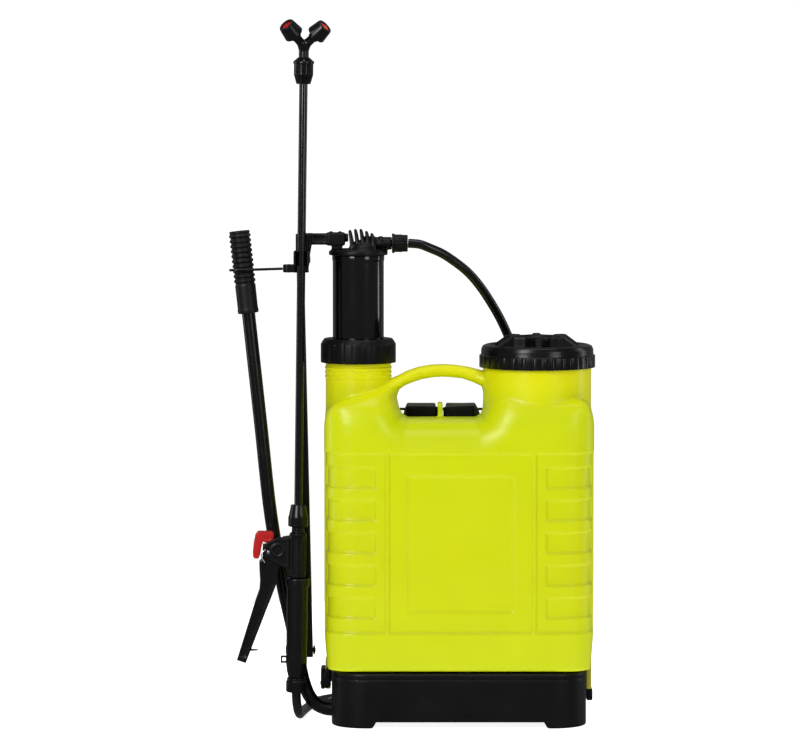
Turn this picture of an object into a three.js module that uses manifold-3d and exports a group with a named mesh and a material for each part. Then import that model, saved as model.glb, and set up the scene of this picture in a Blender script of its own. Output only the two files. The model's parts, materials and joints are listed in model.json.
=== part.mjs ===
// Lever-operated backpack sprayer, in millimetres, +Z up, front of the tank towards -Y.
// The wearer's back is at +Y; the pump lever hangs on the wearer's left, at -X.
import * as THREE from "three";
import { mergeVertices } from "three/addons/utils/BufferGeometryUtils.js";
import Module from "manifold-3d";

// ---------------------------------------------------------------- driving dimensions
const GAP = 0.3; // left between neighbouring pieces
const OUTLINE_MIDDLE = [-56.12, 22.25]; // X and Y of the middle of the whole outline, from the tank's middle

const TANK_HALF_WIDTH = 162.8;
const TANK_HALF_DEPTH = 76;
const TANK_CORNER = 45;
const TANK_WALL = 5;
const TANK_BOTTOM = 66.3;
const RIB_DEPTH = 2.5;

const BASE_HALF_WIDTH = 152.5;
const BASE_HALF_DEPTH = 74;
const BASE_CORNER = 42;
const BASE_TOP = 66;
const BASE_WALL = 4;
const FOOT_RISE = 7.5;

const PUMP_X = -120.6;
const PUMP_NECK_R = 40.1;
const PUMP_NECK_TOP = 436;
const BARREL_BOTTOM = 200;
const BARREL_TOP = 445;
const BARREL_BORE_R = 31.9;
const CHAMBER_R = 30.65;
const CHAMBER_BOTTOM = 330;
const CHAMBER_TOP = 561;

const FILLER_X = 94;
const FILLER_NECK_R = 65;
const FILLER_NECK_TOP = 446;
const CAP_SKIRT_R = 69.5;
const CAP_BOTTOM = 427;

const OUTLET_Z = 575.3;
const ARM_BOTTOM = 573.7;
const ARM_TOP = 587.2;

const PIVOT_Z = 13; // height of the lever's shaft
const CRANK_R = 72; // from the shaft to the crank bolt
const LEVER_R = 8;
const ROD_FOOT = [-180, 0, PIVOT_Z + CRANK_R];
const ROD_LENGTH = 471.2;
const ARM_PIN_Z = 556;
const ROD_LEAN = THREE.MathUtils.degToRad(1.24);
const ROD_HALF_WIDTH = 4.5;

const WAND_FOOT = [-195.1, -28, 46];
const WAND_LEAN = THREE.MathUtils.degToRad(0.777);
const LANCE_R = 5;
const STRAP_BAR = [46, 371.5]; // Y and Z of the bar that carries the shoulder straps
const HEAD_TURN = THREE.MathUtils.degToRad(6);
const HEAD_TILT = THREE.MathUtils.degToRad(29); // of both branches, towards the front

const HOSE_R = 5.5;

// ---------------------------------------------------------------- materials
const finish = (color, roughness, metalness = 0) => ({ color, roughness, metalness });
const YELLOW = finish(0xd2e114, 0.38);
const BLACK = finish(0x17161a, 0.42);
const BLACK_TUBE = finish(0x101012, 0.22);
const RUBBER = finish(0x1c1b1c, 0.8);
const RED = finish(0xd8201c, 0.4);
const ORANGE = finish(0xe0431f, 0.4);
const STEEL = finish(0xa9abad, 0.35, 0.9);
const WHITE = finish(0xe6e6e0, 0.5);
const WEBBING = finish(0x19191b, 0.9);
const FOAM = finish(0x222225, 0.85);

// ---------------------------------------------------------------- joining and cutting
const wasm = await Module();
wasm.setup();

function solid(geometry) {
  const bare = geometry.clone();
  bare.deleteAttribute("normal");
  bare.deleteAttribute("uv");
  const merged = mergeVertices(bare, 1e-3);
  return new wasm.Manifold(
    new wasm.Mesh({
      numProp: 3,
      vertProperties: merged.attributes.position.array,
      triVerts: new Uint32Array(merged.index.array),
    }),
  );
}

function geometryOf(manifold) {
  const mesh = manifold.getMesh();
  const geometry = new THREE.BufferGeometry();
  geometry.setAttribute("position", new THREE.BufferAttribute(mesh.vertProperties, 3));
  geometry.setIndex(new THREE.BufferAttribute(mesh.triVerts, 1));
  return geometry;
}

const join = (...pieces) => geometryOf(pieces.map(solid).reduce((a, b) => a.add(b)));
const cut = (piece, ...tools) => geometryOf(tools.map(solid).reduce((a, b) => a.subtract(b), solid(piece)));
const common = (...pieces) => geometryOf(pieces.map(solid).reduce((a, b) => a.intersect(b)));

// ---------------------------------------------------------------- basic shapes
// A profile of [radius, height] points turned about +Z.
function turned(profile, segments = 20) {
  let area = 0;
  profile.forEach(([r, z], i) => {
    const [nextR, nextZ] = profile[(i + 1) % profile.length];
    area += r * nextZ - nextR * z;
  });
  const ordered = area > 0 ? profile : [...profile].reverse();
  const onAxis = ordered.findIndex(([r], i) => r === 0 && ordered[(i + 1) % ordered.length][0] > 0);
  const first = Math.max(onAxis, 0);
  const loop = ordered.map((_, i) => ordered[(first + i) % ordered.length]);
  if (onAxis < 0) loop.push(loop[0]);
  const points = loop.map(([r, z]) => new THREE.Vector2(r, z));
  return new THREE.LatheGeometry(points, segments).rotateX(Math.PI / 2);
}

// A round bar or tube between two heights.
const ring = (inner, outer, low, high, segments = 16) =>
  turned(
    inner > 0
      ? [[inner, low], [outer, low], [outer, high], [inner, high]]
      : [[0, low], [outer, low], [outer, high], [0, high]],
    segments,
  );

const outline = (points) => new THREE.Shape(points.map(([x, y]) => new THREE.Vector2(x, y)));
const asShape = (points) => (points instanceof THREE.Shape ? points : outline(points));

const extruded = (points, depth, curveSegments) =>
  new THREE.ExtrudeGeometry(asShape(points), { depth, bevelEnabled: false, curveSegments });

// An outline in X and Y, between two heights.
const slabXY = (points, low, high, curveSegments = 6) =>
  extruded(points, high - low, curveSegments).translate(0, 0, low);

// An outline in X and Z, from front to back.
const slabXZ = (points, front, back, curveSegments = 6) =>
  extruded(points, back - front, curveSegments).rotateX(Math.PI / 2).translate(0, back, 0);

// An outline in Y and Z, from left to right.
const slabYZ = (points, left, right, curveSegments = 6) =>
  extruded(points, right - left, curveSegments)
    .rotateZ(Math.PI / 2)
    .rotateY(Math.PI / 2)
    .translate(left, 0, 0);

function box([x0, y0, z0], [x1, y1, z1]) {
  const geometry = new THREE.BoxGeometry(x1 - x0, y1 - y0, z1 - z0);
  return geometry.translate((x0 + x1) / 2, (y0 + y1) / 2, (z0 + z1) / 2);
}

function roundedRectangle(halfX, halfY, corner) {
  const shape = new THREE.Shape();
  const x = halfX - corner;
  const y = halfY - corner;
  shape.absarc(x, y, corner, 0, Math.PI / 2);
  shape.absarc(-x, y, corner, Math.PI / 2, Math.PI);
  shape.absarc(-x, -y, corner, Math.PI, Math.PI * 1.5);
  shape.absarc(x, -y, corner, Math.PI * 1.5, Math.PI * 2);
  return shape;
}

const curveThrough = (points) =>
  new THREE.CatmullRomCurve3(points.map((p) => new THREE.Vector3(...p)), false, "centripetal");

// A round bar through a list of points.
function bar(points, radius, steps, sides = 12) {
  const section = new THREE.Shape();
  section.absarc(0, 0, radius, 0, Math.PI * 2);
  const options = { steps, curveSegments: sides / 2, extrudePath: curveThrough(points), bevelEnabled: false };
  return new THREE.ExtrudeGeometry(section, options);
}

// A round bar or tube along X.
const along = (geometry, x, y, z) => geometry.rotateY(Math.PI / 2).translate(x, y, z);

// A flat band through a list of points, whose width lies along X.
function band(points, width, thickness, steps = 24) {
  const path = curveThrough(points);
  const across = new THREE.Vector3(1, 0, 0);
  const positions = [];
  const index = [];
  for (let i = 0; i <= steps; i++) {
    const centre = path.getPoint(i / steps);
    const ahead = path.getTangent(i / steps);
    const side = across.clone().addScaledVector(ahead, -across.dot(ahead)).normalize();
    const out = side.clone().cross(ahead).normalize();
    for (const [a, b] of [[-1, -1], [1, -1], [1, 1], [-1, 1]]) {
      const corner = centre.clone();
      corner.addScaledVector(side, (a * width) / 2);
      corner.addScaledVector(out, (b * thickness) / 2);
      positions.push(corner.x, corner.y, corner.z);
    }
  }
  for (let i = 0; i < steps; i++) {
    for (let k = 0; k < 4; k++) {
      const a = i * 4 + k;
      const b = i * 4 + ((k + 1) % 4);
      index.push(a, a + 4, b, b, a + 4, b + 4);
    }
  }
  const last = steps * 4;
  index.push(0, 1, 2, 0, 2, 3, last, last + 2, last + 1, last, last + 3, last + 2);
  const geometry = new THREE.BufferGeometry();
  geometry.setAttribute("position", new THREE.Float32BufferAttribute(positions, 3));
  geometry.setIndex(index);
  return geometry;
}

// ---------------------------------------------------------------- scene graph
function group(parent, [x, y, z] = [0, 0, 0], lean = 0) {
  const made = new THREE.Group();
  made.position.set(x, y, z);
  made.rotation.y = lean;
  parent.add(made);
  return made;
}

function add(parent, name, geometry, look, [x, y, z] = [0, 0, 0]) {
  const mesh = new THREE.Mesh(geometry, new THREE.MeshStandardMaterial(look));
  mesh.name = name;
  mesh.position.set(x, y, z);
  parent.add(mesh);
  return mesh;
}

const sprayer = new THREE.Group();
const frame = group(sprayer, [-OUTLINE_MIDDLE[0], -OUTLINE_MIDDLE[1], 0]);

// ---------------------------------------------------------------- tank
// Front outline of the moulding, with the handle's arch between the two necks.
const tankFront = [
  [-157, TANK_BOTTOM], [157, TANK_BOTTOM], [TANK_HALF_WIDTH, 116], [TANK_HALF_WIDTH, 360], [160, 372],
  [151, 385], [135, 392.5], [101.6, 394], [69.7, 398.5], [42, 411], [22.5, 424.5], [0.2, 429],
  [-19, 430.7], [-38.8, 429], [-58.6, 423.8], [-78, 412.5], [-93, 405.5], [-117, 395], [-148, 384.5],
  [-160, 372], [-TANK_HALF_WIDTH, 360], [-TANK_HALF_WIDTH, 116],
];

// Side outline: rounded shoulders, a slim handle on top, and a hollow for the wearer's back.
const tankSide = [
  [-76, 60], [-76, 345], [-72, 368], [-60, 384], [-40, 395], [-24, 401], [-20, 408], [-19, 428],
  [-15, 434], [15, 434], [19, 428], [20, 408], [24, 401], [40, 395], [60, 384], [72, 368], [76, 345],
  [76, 330], [70, 295], [67.5, 220], [70, 145], [76, 110], [76, 60],
];

const handleOpening = [
  [-66, 368], [22, 368], [28, 375], [28, 398], [20, 406.5], [5, 411.6], [-19, 413.5], [-44, 411],
  [-63, 404.5], [-73, 396], [-73, 375],
];

// Inside faces of the wall, from the front and from the side.
const cavityFront = [
  [-151.5, 71.3], [151.5, 71.3], [157.8, 118], [157.8, 358], [146, 377], [120, 386], [70, 386],
  [37, 380], [35, 352], [-80, 352], [-84, 382], [-117, 388], [-146, 377], [-157.8, 358], [-157.8, 118],
];
const cavitySide = [
  [-71, 60], [-71, 343], [-66, 364], [-54, 378], [-36, 386], [36, 386], [54, 378], [66, 364],
  [71, 343], [71, 328], [65, 293], [62.5, 220], [65, 147], [71, 108], [71, 60],
];

// The tank's outline in plan, moved inwards.
const tankPlan = (inset) =>
  roundedRectangle(TANK_HALF_WIDTH - inset, TANK_HALF_DEPTH - inset, TANK_CORNER - inset);

// Five shallow windows up each side of the front, and a large one in its middle.
function tankRecesses() {
  const shell = cut(slabXY(tankPlan(-5), 100, 340), slabXY(tankPlan(RIB_DEPTH), 90, 350, 4));
  const windows = [];
  for (let row = 0; row < 5; row++) {
    const low = 132 + row * 38.8;
    for (const side of [-1, 1]) {
      const near = side < 0 ? -154 : 103.5;
      windows.push(box([near, -90, low], [near + (side < 0 ? 54 : 50), -20, low + 24]));
    }
  }
  windows.push(box([-62, -90, 138.5], [65, -20, 301.5]));
  return windows.map((window) => common(shell, window));
}

function makeTank() {
  const body = common(
    slabXZ(tankFront, -90, 90),
    slabXY(tankPlan(0), TANK_BOTTOM, 440),
    slabYZ(tankSide, -170, 170),
  );
  const carved = cut(body, slabXZ(handleOpening, -90, 90), ...tankRecesses());
  const lug = (side) =>
    box(side < 0 ? [-160.7, 10, 36] : [154.3, 10, 36], side < 0 ? [-154.3, 40, 100] : [160.7, 40, 100]);
  const outer = join(
    carved,
    ring(0, PUMP_NECK_R, 375, PUMP_NECK_TOP, 32).translate(PUMP_X, 0, 0),
    ring(0, FILLER_NECK_R, 375, FILLER_NECK_TOP, 40).translate(FILLER_X, 0, 0),
    lug(-1),
    lug(1),
    box([-25.2, 30, 355], [-18.8, 62, 381]),
  );
  const cavity = common(
    slabXZ(cavityFront, -80, 80),
    slabXY(tankPlan(TANK_WALL), TANK_BOTTOM + TANK_WALL, 400, 4),
    slabYZ(cavitySide, -170, 170),
  );
  return cut(
    outer,
    cavity,
    ring(0, 36, 340, 450, 32).translate(PUMP_X, 0, 0),
    ring(0, 59, 370, 460, 40).translate(FILLER_X, 0, 0),
    ...[[-66, -25.2], [-18.8, 22]].map(([left, right]) => box([left, 34, 362], [right, 90, 380])),
    along(ring(0, 3.4, 0, 111, 12), -79, ...STRAP_BAR),
  );
}
add(frame, "tank", makeTank(), YELLOW);

// ---------------------------------------------------------------- base
const basePlan = (inset) =>
  roundedRectangle(BASE_HALF_WIDTH - inset, BASE_HALF_DEPTH - inset, BASE_CORNER - inset);
const screwHole = (side) => ring(0, 3, 55, 75, 12).translate(side * 60, 0, 0);

function makeBase() {
  const block = slabXY(basePlan(0), 0, BASE_TOP);
  const pocket = slabXY(basePlan(BASE_WALL), -1, BASE_TOP - BASE_WALL);
  const archway = [[-107, -1], [109, -1], [101, FOOT_RISE], [-99, FOOT_RISE]];
  const shaftRib = box([-114, -16, 1], [-108, 16, BASE_TOP - BASE_WALL + 1]);
  const shell = join(cut(block, pocket, slabXZ(archway, -90, 90)), shaftRib);
  return cut(shell, along(ring(0, 10.3, 0, 60), -160, 0, PIVOT_Z), screwHole(-1), screwHole(1));
}
add(frame, "base", makeBase(), BLACK);
for (const [side, name] of [[-1, "left"], [1, "right"]]) {
  const screw = turned([[0, 56], [5.5, 56], [5.5, 61.7], [2.6, 61.7], [2.6, 66.1], [0, 66.1]], 16);
  add(frame, `base_screw_${name}`, screw, STEEL, [side * 60, 0, 0]);
}
add(frame, "shaft_bush_outer", along(ring(8.6, 10, -150.6, -144.6), 0, 0, PIVOT_Z), WHITE);
add(frame, "shaft_bush_inner", along(ring(8.4, 10, -114.6, -107.6), 0, 0, PIVOT_Z), WHITE);

// ---------------------------------------------------------------- pump, fixed pieces
const pump = group(frame, [PUMP_X, 0, 0]);
const pumpBarrelProfile = [
  [9, BARREL_BOTTOM], [34.2, BARREL_BOTTOM], [34.2, 438], [39.8, 438], [39.8, BARREL_TOP],
  [BARREL_BORE_R, BARREL_TOP], [BARREL_BORE_R, BARREL_BOTTOM + 5], [9, BARREL_BOTTOM + 5],
];
add(pump, "pump_barrel", turned(pumpBarrelProfile, 28), WHITE);
add(pump, "barrel_gasket", ring(36.5, 39.8, PUMP_NECK_TOP + GAP, 438 - GAP, 32), RUBBER);
const nutProfile = [
  [40.6, 432.7], [45.1, 432.7], [45.1, 456.5], [41.5, 461.6], [31.3, 461.6], [31.3, 446], [40.6, 446],
];
add(pump, "pump_nut", turned(nutProfile, 32), BLACK);
const intakeProfile = [
  [4, 150], [12, 150], [12, 190], [20, 190], [20, BARREL_BOTTOM - GAP], [7.5, BARREL_BOTTOM - GAP],
  [7.5, 172], [4, 168],
];
add(pump, "intake_valve", turned(intakeProfile, 20), WHITE);
add(pump, "intake_ball", new THREE.SphereGeometry(6.5, 12, 8), STEEL, [0, 0, 179]);
const intakeStrainerProfile = [[0, 74], [17, 74], [17, 149.7], [13, 149.7], [13, 77], [0, 77]];
add(pump, "intake_strainer", turned(intakeStrainerProfile, 20), WHITE);

// ---------------------------------------------------------------- filler
const filler = group(frame, [FILLER_X, 0, 0]);
const strainerProfile = [
  [0, 372], [53, 372], [56, 446.3], [64, 446.3], [64, 448.2], [54, 448.2], [51, 374.5], [0, 374.5],
];
add(filler, "filler_strainer", turned(strainerProfile, 32), BLACK);
add(filler, "cap_gasket", ring(58, 65.6, 448.5, 450.4, 32), RUBBER);

function makeFillerCap() {
  const shell = turned(
    [
      [66.2, CAP_BOTTOM], [CAP_SKIRT_R, CAP_BOTTOM], [CAP_SKIRT_R, 441.4], [68, 442.6], [68, 449],
      [65.5, 452.5], [58, 454.5], [0, 455.5], [0, 450.8], [66.2, 450.8],
    ],
    40,
  );
  const lobes = [];
  for (let i = 0; i < 36; i++) {
    const angle = (i / 36) * Math.PI * 2;
    const radius = 34 + 3.5 * Math.cos(6 * angle);
    lobes.push([radius * Math.cos(angle), radius * Math.sin(angle)]);
  }
  const star = slabXY(lobes, 453, 466);
  const buttresses = [];
  for (let i = 0; i < 6; i++) {
    const fin = slabXZ([[20, 452.8], [54, 452.8], [54, 455.5], [35, 465.5], [20, 465.5]], -5, 5);
    buttresses.push(fin.rotateZ((i / 6) * Math.PI * 2));
  }
  return join(shell, star, ...buttresses);
}
add(filler, "filler_cap", makeFillerCap(), BLACK);

// ---------------------------------------------------------------- air chamber and what rises with it
add(pump, "air_chamber", ring(27.6, CHAMBER_R, CHAMBER_BOTTOM, CHAMBER_TOP, 32), BLACK_TUBE);
add(pump, "piston", ring(5, 30.6, 312, CHAMBER_BOTTOM - GAP, 28), WHITE);
add(pump, "piston_seal", turned([[14, 306], [31.2, 304], [31.5, 311.7], [14, 311.7]], 28), RUBBER);
add(pump, "delivery_ball", new THREE.SphereGeometry(6, 12, 8), STEEL, [0, 0, CHAMBER_BOTTOM + 6.5]);
add(pump, "outlet_pipe", ring(3.2, 5, 352, 552.7, 16), WHITE);

function makeChamberCap() {
  const cover = turned(
    [
      [0, 553], [27.2, 553], [27.2, 561.3], [35.2, 561.3], [35.2, 566.6], [30, 568.2], [15, 568.8],
      [15, 576], [13, 578.5], [0, 578.5],
    ],
    28,
  );
  const fins = [[-10.2, 591.4], [-3.6, 592.6], [3, 592.6], [9.6, 590.2], [16, 587.6]].map(([x, top]) => {
    const fin = new THREE.Shape();
    fin.moveTo(-13, 567);
    fin.lineTo(13, 567);
    fin.absellipse(0, 578, 13, top - 578, 0, Math.PI);
    return slabYZ(fin, x - 2, x + 2, 5);
  });
  const outlet = along(ring(0, 7.6, 10, 39.8, 20), 0, 0, OUTLET_Z);
  const spigot = along(ring(0, 4, 38, 54, 16), 0, 0, OUTLET_Z);
  return join(cover, ...fins, outlet, spigot);
}
add(pump, "chamber_cap", makeChamberCap(), BLACK);
const outletNutProfile = [
  [4.4, 40.3], [11.8, 40.3], [11.8, 43.2], [10.4, 43.6], [10.4, 59.3], [4.4, 59.3],
];
add(pump, "outlet_nut", along(turned(outletNutProfile, 24), 0, 0, OUTLET_Z), BLACK);

// Round boss at the arm's lower left corner, on which the lever's hook turns.
function makeHookHolder() {
  const plan = new THREE.Shape();
  plan.moveTo(-196, -11);
  plan.lineTo(-205.4, -11);
  plan.absarc(-205.4, -16, 5, Math.PI / 2, Math.PI * 1.5);
  plan.lineTo(-196, -21);
  return slabXY(plan, 541.3, 550.8, 8);
}

function makePumpArm() {
  const rail = box([-184.6, -7, ARM_BOTTOM], [-150, 7, ARM_TOP]);
  const sleeve = box([-158.7, -8.5, 572.7], [-136.2, 8.5, 588.4]);
  const foot = box([-152.5, -8, 569], [-139.5, 8, 574]);
  const neck = box([-138, -4, 578.8], [-133.2, 4, 587]);
  const bumps = [-153.2, -142.4].map((x) => ring(0, 2.4, 588, 590, 10).translate(x, 0, 0));
  const earSide = [
    [-184.6, 541], [-181, 541], [-181, 547], [-176.2, 574], [-176.2, ARM_TOP], [-184.6, ARM_TOP],
  ];
  const plateSide = [[-197.5, 541], [-179.6, 541], [-179.6, ARM_TOP], [-195.2, ARM_TOP], [-195.2, 560]];
  const ear = slabXZ(earSide, -14, 8);
  const plate = slabXZ(plateSide, -20, -9);
  const jaws = [-197.5, -181.6].map((x) => box([x, -34, 549], [x + 2.6, -10, 567]));
  return cut(
    join(rail, sleeve, foot, neck, ...bumps, ear, plate, ...jaws, makeHookHolder()),
    along(ring(0, 3.3, -200, -170, 12), 0, 0, ARM_PIN_Z),
  );
}
add(frame, "pump_arm", makePumpArm(), BLACK);
const armPin = [[0, -184.9], [3, -184.9], [3, -177.9], [5.5, -177.9], [5.5, -174.4], [0, -174.4]];
add(frame, "arm_pin", along(turned(armPin, 16), 0, 0, ARM_PIN_Z), STEEL);

// ---------------------------------------------------------------- hook that holds the stowed lever
const hookRoute = [
  [-210.8, -16, 545.6], [-230, -16, 545], [-255, -16, 544.2], [-268, -15.5, 543.9],
  [-273, -12.5, 543.6], [-274, -7, 543.2],
];
add(frame, "lever_hook", bar(hookRoute, 1.5, 14, 8), BLACK_TUBE);

// ---------------------------------------------------------------- lever
const leverRoute = [
  [-99, 0, PIVOT_Z], [-140, 0, PIVOT_Z], [-152, 0, PIVOT_Z], [-158, 0, PIVOT_Z + 0.4],
  [-169.5, 0, 17.8], [-179.5, 0, 28.5], [-186.6, 0, 46], [-191.5, 0, 68], [-199.6, 0, 109],
  [-211.6, 0, 163.6], [-226, 0, 248.5], [-238, 0, 359.5], [-250.8, 0, 477.8], [-255.1, 0, 517.5],
];
const crankHole = along(ring(0, 3.3, -215, -180, 12), 0, 0, PIVOT_Z + CRANK_R);
add(frame, "lever_tube", cut(bar(leverRoute, LEVER_R, 32, 10), crankHole), BLACK_TUBE);

const GRIP_LEAN = Math.atan2(24.8, 229.3);
const grip = group(frame, [-252.35, 0, 491.6], -GRIP_LEAN);
function gripProfile() {
  const points = [[8.4, 0], [12.3, 0], [12.9, 2], [12.6, 36]];
  for (let rib = 0; rib < 10; rib++) {
    const z = 38.4 + rib * 6.15;
    points.push([11.6, z], [13, z + 1.6], [13, z + 3.8]);
  }
  points.push([12.2, 99.2], [0, 99.2], [0, 30], [8.4, 30]);
  return points;
}
add(grip, "lever_grip", turned(gripProfile(), 12), RUBBER);
const crankBolt = [[0, -208.4], [5.5, -208.4], [5.5, -204.6], [3, -204.6], [3, -170], [0, -170]];
add(frame, "crank_bolt", along(turned(crankBolt, 16), 0, 0, PIVOT_Z + CRANK_R), STEEL);
add(frame, "crank_nut", along(ring(3.6, 5.8, -175, -171, 6), 0, 0, PIVOT_Z + CRANK_R), STEEL);
add(frame, "shaft_clip", along(ring(8.3, 12, -106.8, -104.6, 20), 0, 0, PIVOT_Z), STEEL);

// ---------------------------------------------------------------- connecting rod
const link = group(frame, ROD_FOOT, -ROD_LEAN);
const rodSide = new THREE.Shape();
rodSide.absarc(0, 0, 9, Math.PI, Math.PI * 2);
rodSide.lineTo(7, 30);
rodSide.lineTo(7, ROD_LENGTH - 20);
rodSide.absarc(0, ROD_LENGTH, 8, 0, Math.PI);
rodSide.lineTo(-7, ROD_LENGTH - 20);
rodSide.lineTo(-7, 30);
const rodHoles = [0, ROD_LENGTH].map((z) => along(ring(0, 3.4, -20, 20, 12), 0, 0, z));
add(link, "link_rod", cut(slabYZ(rodSide, -ROD_HALF_WIDTH, ROD_HALF_WIDTH, 10), ...rodHoles), BLACK_TUBE);
const rodBolt = [[0, -8], [5.5, -8], [5.5, -4.8], [3, -4.8], [3, 4.2], [0, 4.2]];
add(link, "rod_top_bolt", along(turned(rodBolt, 16), 0, 0, ROD_LENGTH), STEEL);

// ---------------------------------------------------------------- spray wand
const wand = group(frame, WAND_FOOT, WAND_LEAN);
add(wand, "hose_nut", ring(6.9, 12.4, -8.1, 9.2, 24), BLACK);

const TRIGGER_PIVOT = [-35.1, 0, 161];
const LOCK_PIVOT = [-34, 0, 179];
const trigger = [
  [-42, 170], [-42, 153], [-46, 149.5], [-45.6, 139], [-44.7, 127], [-45.3, 116.4], [-50.2, 101.9],
  [-71.5, 30], [-60.7, 26.4], [-25.7, 120.6], [-22.9, 139], [-26.4, 170],
];
const pinHole = (radius) => ring(0, radius, -20, 20, 12).rotateX(Math.PI / 2).translate(...TRIGGER_PIVOT);

function makeValveBody() {
  const barrelProfile = [
    [4.5, -6], [6.5, -6], [6.5, 129.7], [9.3, 129.7], [9.3, 184.4], [7, 184.4], [7, 191.2], [4.5, 191.2],
  ];
  const housingSide = [[-18.5, 160], [-14.6, 146], [-14.6, 140], [-7, 131], [-7, 180], [-18.5, 180]];
  const cheekSide = [
    [-41, 156], [-27, 147.5], [-12, 142.5], [-12, 176], [-26, 177.8], [-38, 172], [-41, 166],
  ];
  const housing = cut(slabXZ(housingSide, -9.9, 9.9), ring(0, 6, 100, 200, 16));
  const cheeks = [-9.9, 7.4].map((front) => slabXZ(cheekSide, front, front + 2.5));
  return cut(join(turned(barrelProfile, 24), housing, ...cheeks), pinHole(2.3));
}
add(wand, "valve_body", makeValveBody(), BLACK);
add(wand, "trigger_pin", ring(0, 2, -10.3, 10.3, 12).rotateX(Math.PI / 2).translate(...TRIGGER_PIVOT), STEEL);
add(wand, "valve_stem", turned([[0, 136], [2.2, 136], [2.2, 156], [4, 156], [4, 160], [0, 160]], 12), STEEL);
add(wand, "valve_spring", ring(3.1, 4.1, 160.4, 182, 12), STEEL);

function makeHandleShell() {
  const sleeve = turned(
    [
      [6.9, 9.6], [9.6, 9.6], [11.6, 18], [12.6, 27], [12.6, 117], [14.4, 121], [14.4, 129.3], [6.9, 129.3],
    ],
    24,
  );
  const loop = cut(box([-19, -3.5, 27], [-11, 3.5, 35.5]), box([-17.2, -5, 29], [-12.8, 5, 33.5]));
  return join(sleeve, loop);
}
add(wand, "handle_shell", makeHandleShell(), BLACK);

const catchPeg = along(ring(0, 1.4, -57, -46.5, 10), 0, 0, 42);
add(wand, "trigger", cut(join(slabXZ(trigger, -7, 7), catchPeg), pinHole(2.3)), BLACK);
const lock = [
  [-54.2, 156], [-52, 152], [-45, 152], [-43.2, 171], [-31, 171.2], [-28.8, 175], [-28.8, 184], [-31, 186.8],
  [-50.5, 186.8], [-53.5, 184],
];
add(wand, "trigger_lock", slabXZ(lock, -7, 7), RED);

add(wand, "lance_nut", turned([[5.3, 191.7], [12, 191.7], [12, 198], [8.7, 217.5], [5.3, 217.5]], 24), BLACK);
add(wand, "lance_tube", ring(3.4, LANCE_R, 192, 732, 16), BLACK_TUBE);
const headNutProfile = [
  [5.3, 719.9], [8.4, 719.9], [11.5, 731], [11.5, 743.5], [12.5, 744.5], [12.5, 746.5], [6.4, 751.9],
  [6.4, 735], [5.3, 735],
];
add(wand, "head_nut", turned(headNutProfile, 20), BLACK);

// Two-way head: each branch leans outwards by its own angle, and both tilt forwards.
const JUNCTION = 764.5;
const head = group(wand, [0, 0, JUNCTION]);
head.rotation.z = HEAD_TURN;
const BRANCHES = [
  { side: "left", lean: THREE.MathUtils.degToRad(-37.9), disc: RED },
  { side: "right", lean: THREE.MathUtils.degToRad(40.5), disc: ORANGE },
];
const stem = ring(0, 6, 736 - JUNCTION, 2, 20);
const arms = BRANCHES.map(({ lean }) => ring(0, 5, -1, 27, 12).rotateY(lean).rotateX(HEAD_TILT));
add(head, "y_head", join(stem, new THREE.SphereGeometry(6.3, 12, 8), ...arms), BLACK);
const nozzleProfile = [
  [5.3, 19.5], [11, 19.5], [12, 21], [9.6, 36], [9, 37], [6.4, 37], [6.4, 32.5], [1.2, 32.5],
  [1.2, 29], [5.3, 29],
];
const fork = group(head);
fork.rotation.x = HEAD_TILT;
for (const { side, lean, disc } of BRANCHES) {
  const branch = group(fork, [0, 0, 0], lean);
  add(branch, `nozzle_cap_${side}`, turned(nozzleProfile, 16), BLACK);
  add(branch, `nozzle_disc_${side}`, ring(0.8, 6.1, 32.8, 35, 16), disc);
}

// ---------------------------------------------------------------- hose
const hoseRoute = [
  [-60.7, 0, 575.3], [-47, 1, 574], [-33.9, 3, 569], [-21, 7, 563.2], [-9.4, 12, 555.8], [10, 20, 540.5],
  [25.3, 30, 522.8], [40.3, 42, 500], [51.7, 54, 479.4], [61, 65, 459], [71, 76, 436], [84, 82, 405],
  [97, 84, 365], [106, 84, 320], [112, 83, 260], [114, 82.5, 200], [114, 83, 140], [113, 86, 92],
  [109, 94, 55], [101, 107, 28], [88, 123, 12], [68, 137, 6.3], [38, 149, 6], [0, 156, 6],
  [-45, 159, 6], [-90, 159, 6], [-128, 154, 6], [-155, 140, 6], [-172, 116, 6], [-180, 84, 6],
  [-185, 50, 6], [-189, 20, 6], [-191, -2, 7.5], [-193.2, -17, 14], [-194.6, -25.5, 25],
  [-195.22, -28, 37.6],
];
add(frame, "hose", bar(hoseRoute, HOSE_R, 76, 8), BLACK_TUBE);

// ---------------------------------------------------------------- harness
add(frame, "strap_bar", along(ring(0, 3, -78, 31, 12), 0, ...STRAP_BAR), STEEL);
const HARNESS = [
  {
    side: "left",
    top: -44,
    web: [[-44, 51, 376], [-45, 66, 377], [-49, 84, 364], [-53, 93, 340]],
    pad: [[-54.5, 97, 334], [-62, 104, 285], [-72, 108, 230], [-84, 109, 175]],
    tail: [[-84.6, 109, 171], [-94, 107, 140], [-112, 102, 105], [-134, 97, 78], [-146, 87, 56]],
    buckle: [-96, 106, 134],
    hook: [
      [[-166.3, 12, 35.5], [-161, 44, 61]],
      [[-166.3, 40, 35.5], [-161, 86, 49]],
      [[-166.3, 79, 35.5], [-133, 86, 49]],
    ],
  },
  {
    side: "right",
    top: 1,
    web: [[1, 51, 376], [3, 66, 377], [9, 84, 364], [16, 93, 340]],
    pad: [[16.8, 97, 334], [28, 104, 285], [42, 109, 230], [58, 112, 175]],
    tail: [[58.8, 112, 171], [72, 113, 140], [94, 112, 105], [130, 103, 70], [143, 88, 43]],
    buckle: [75, 113, 134],
    hook: [[[154.8, 12, 21.6], [162.2, 86, 35.6]], [[128, 79, 21.6], [162.2, 86, 35.6]]],
  },
];
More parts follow.
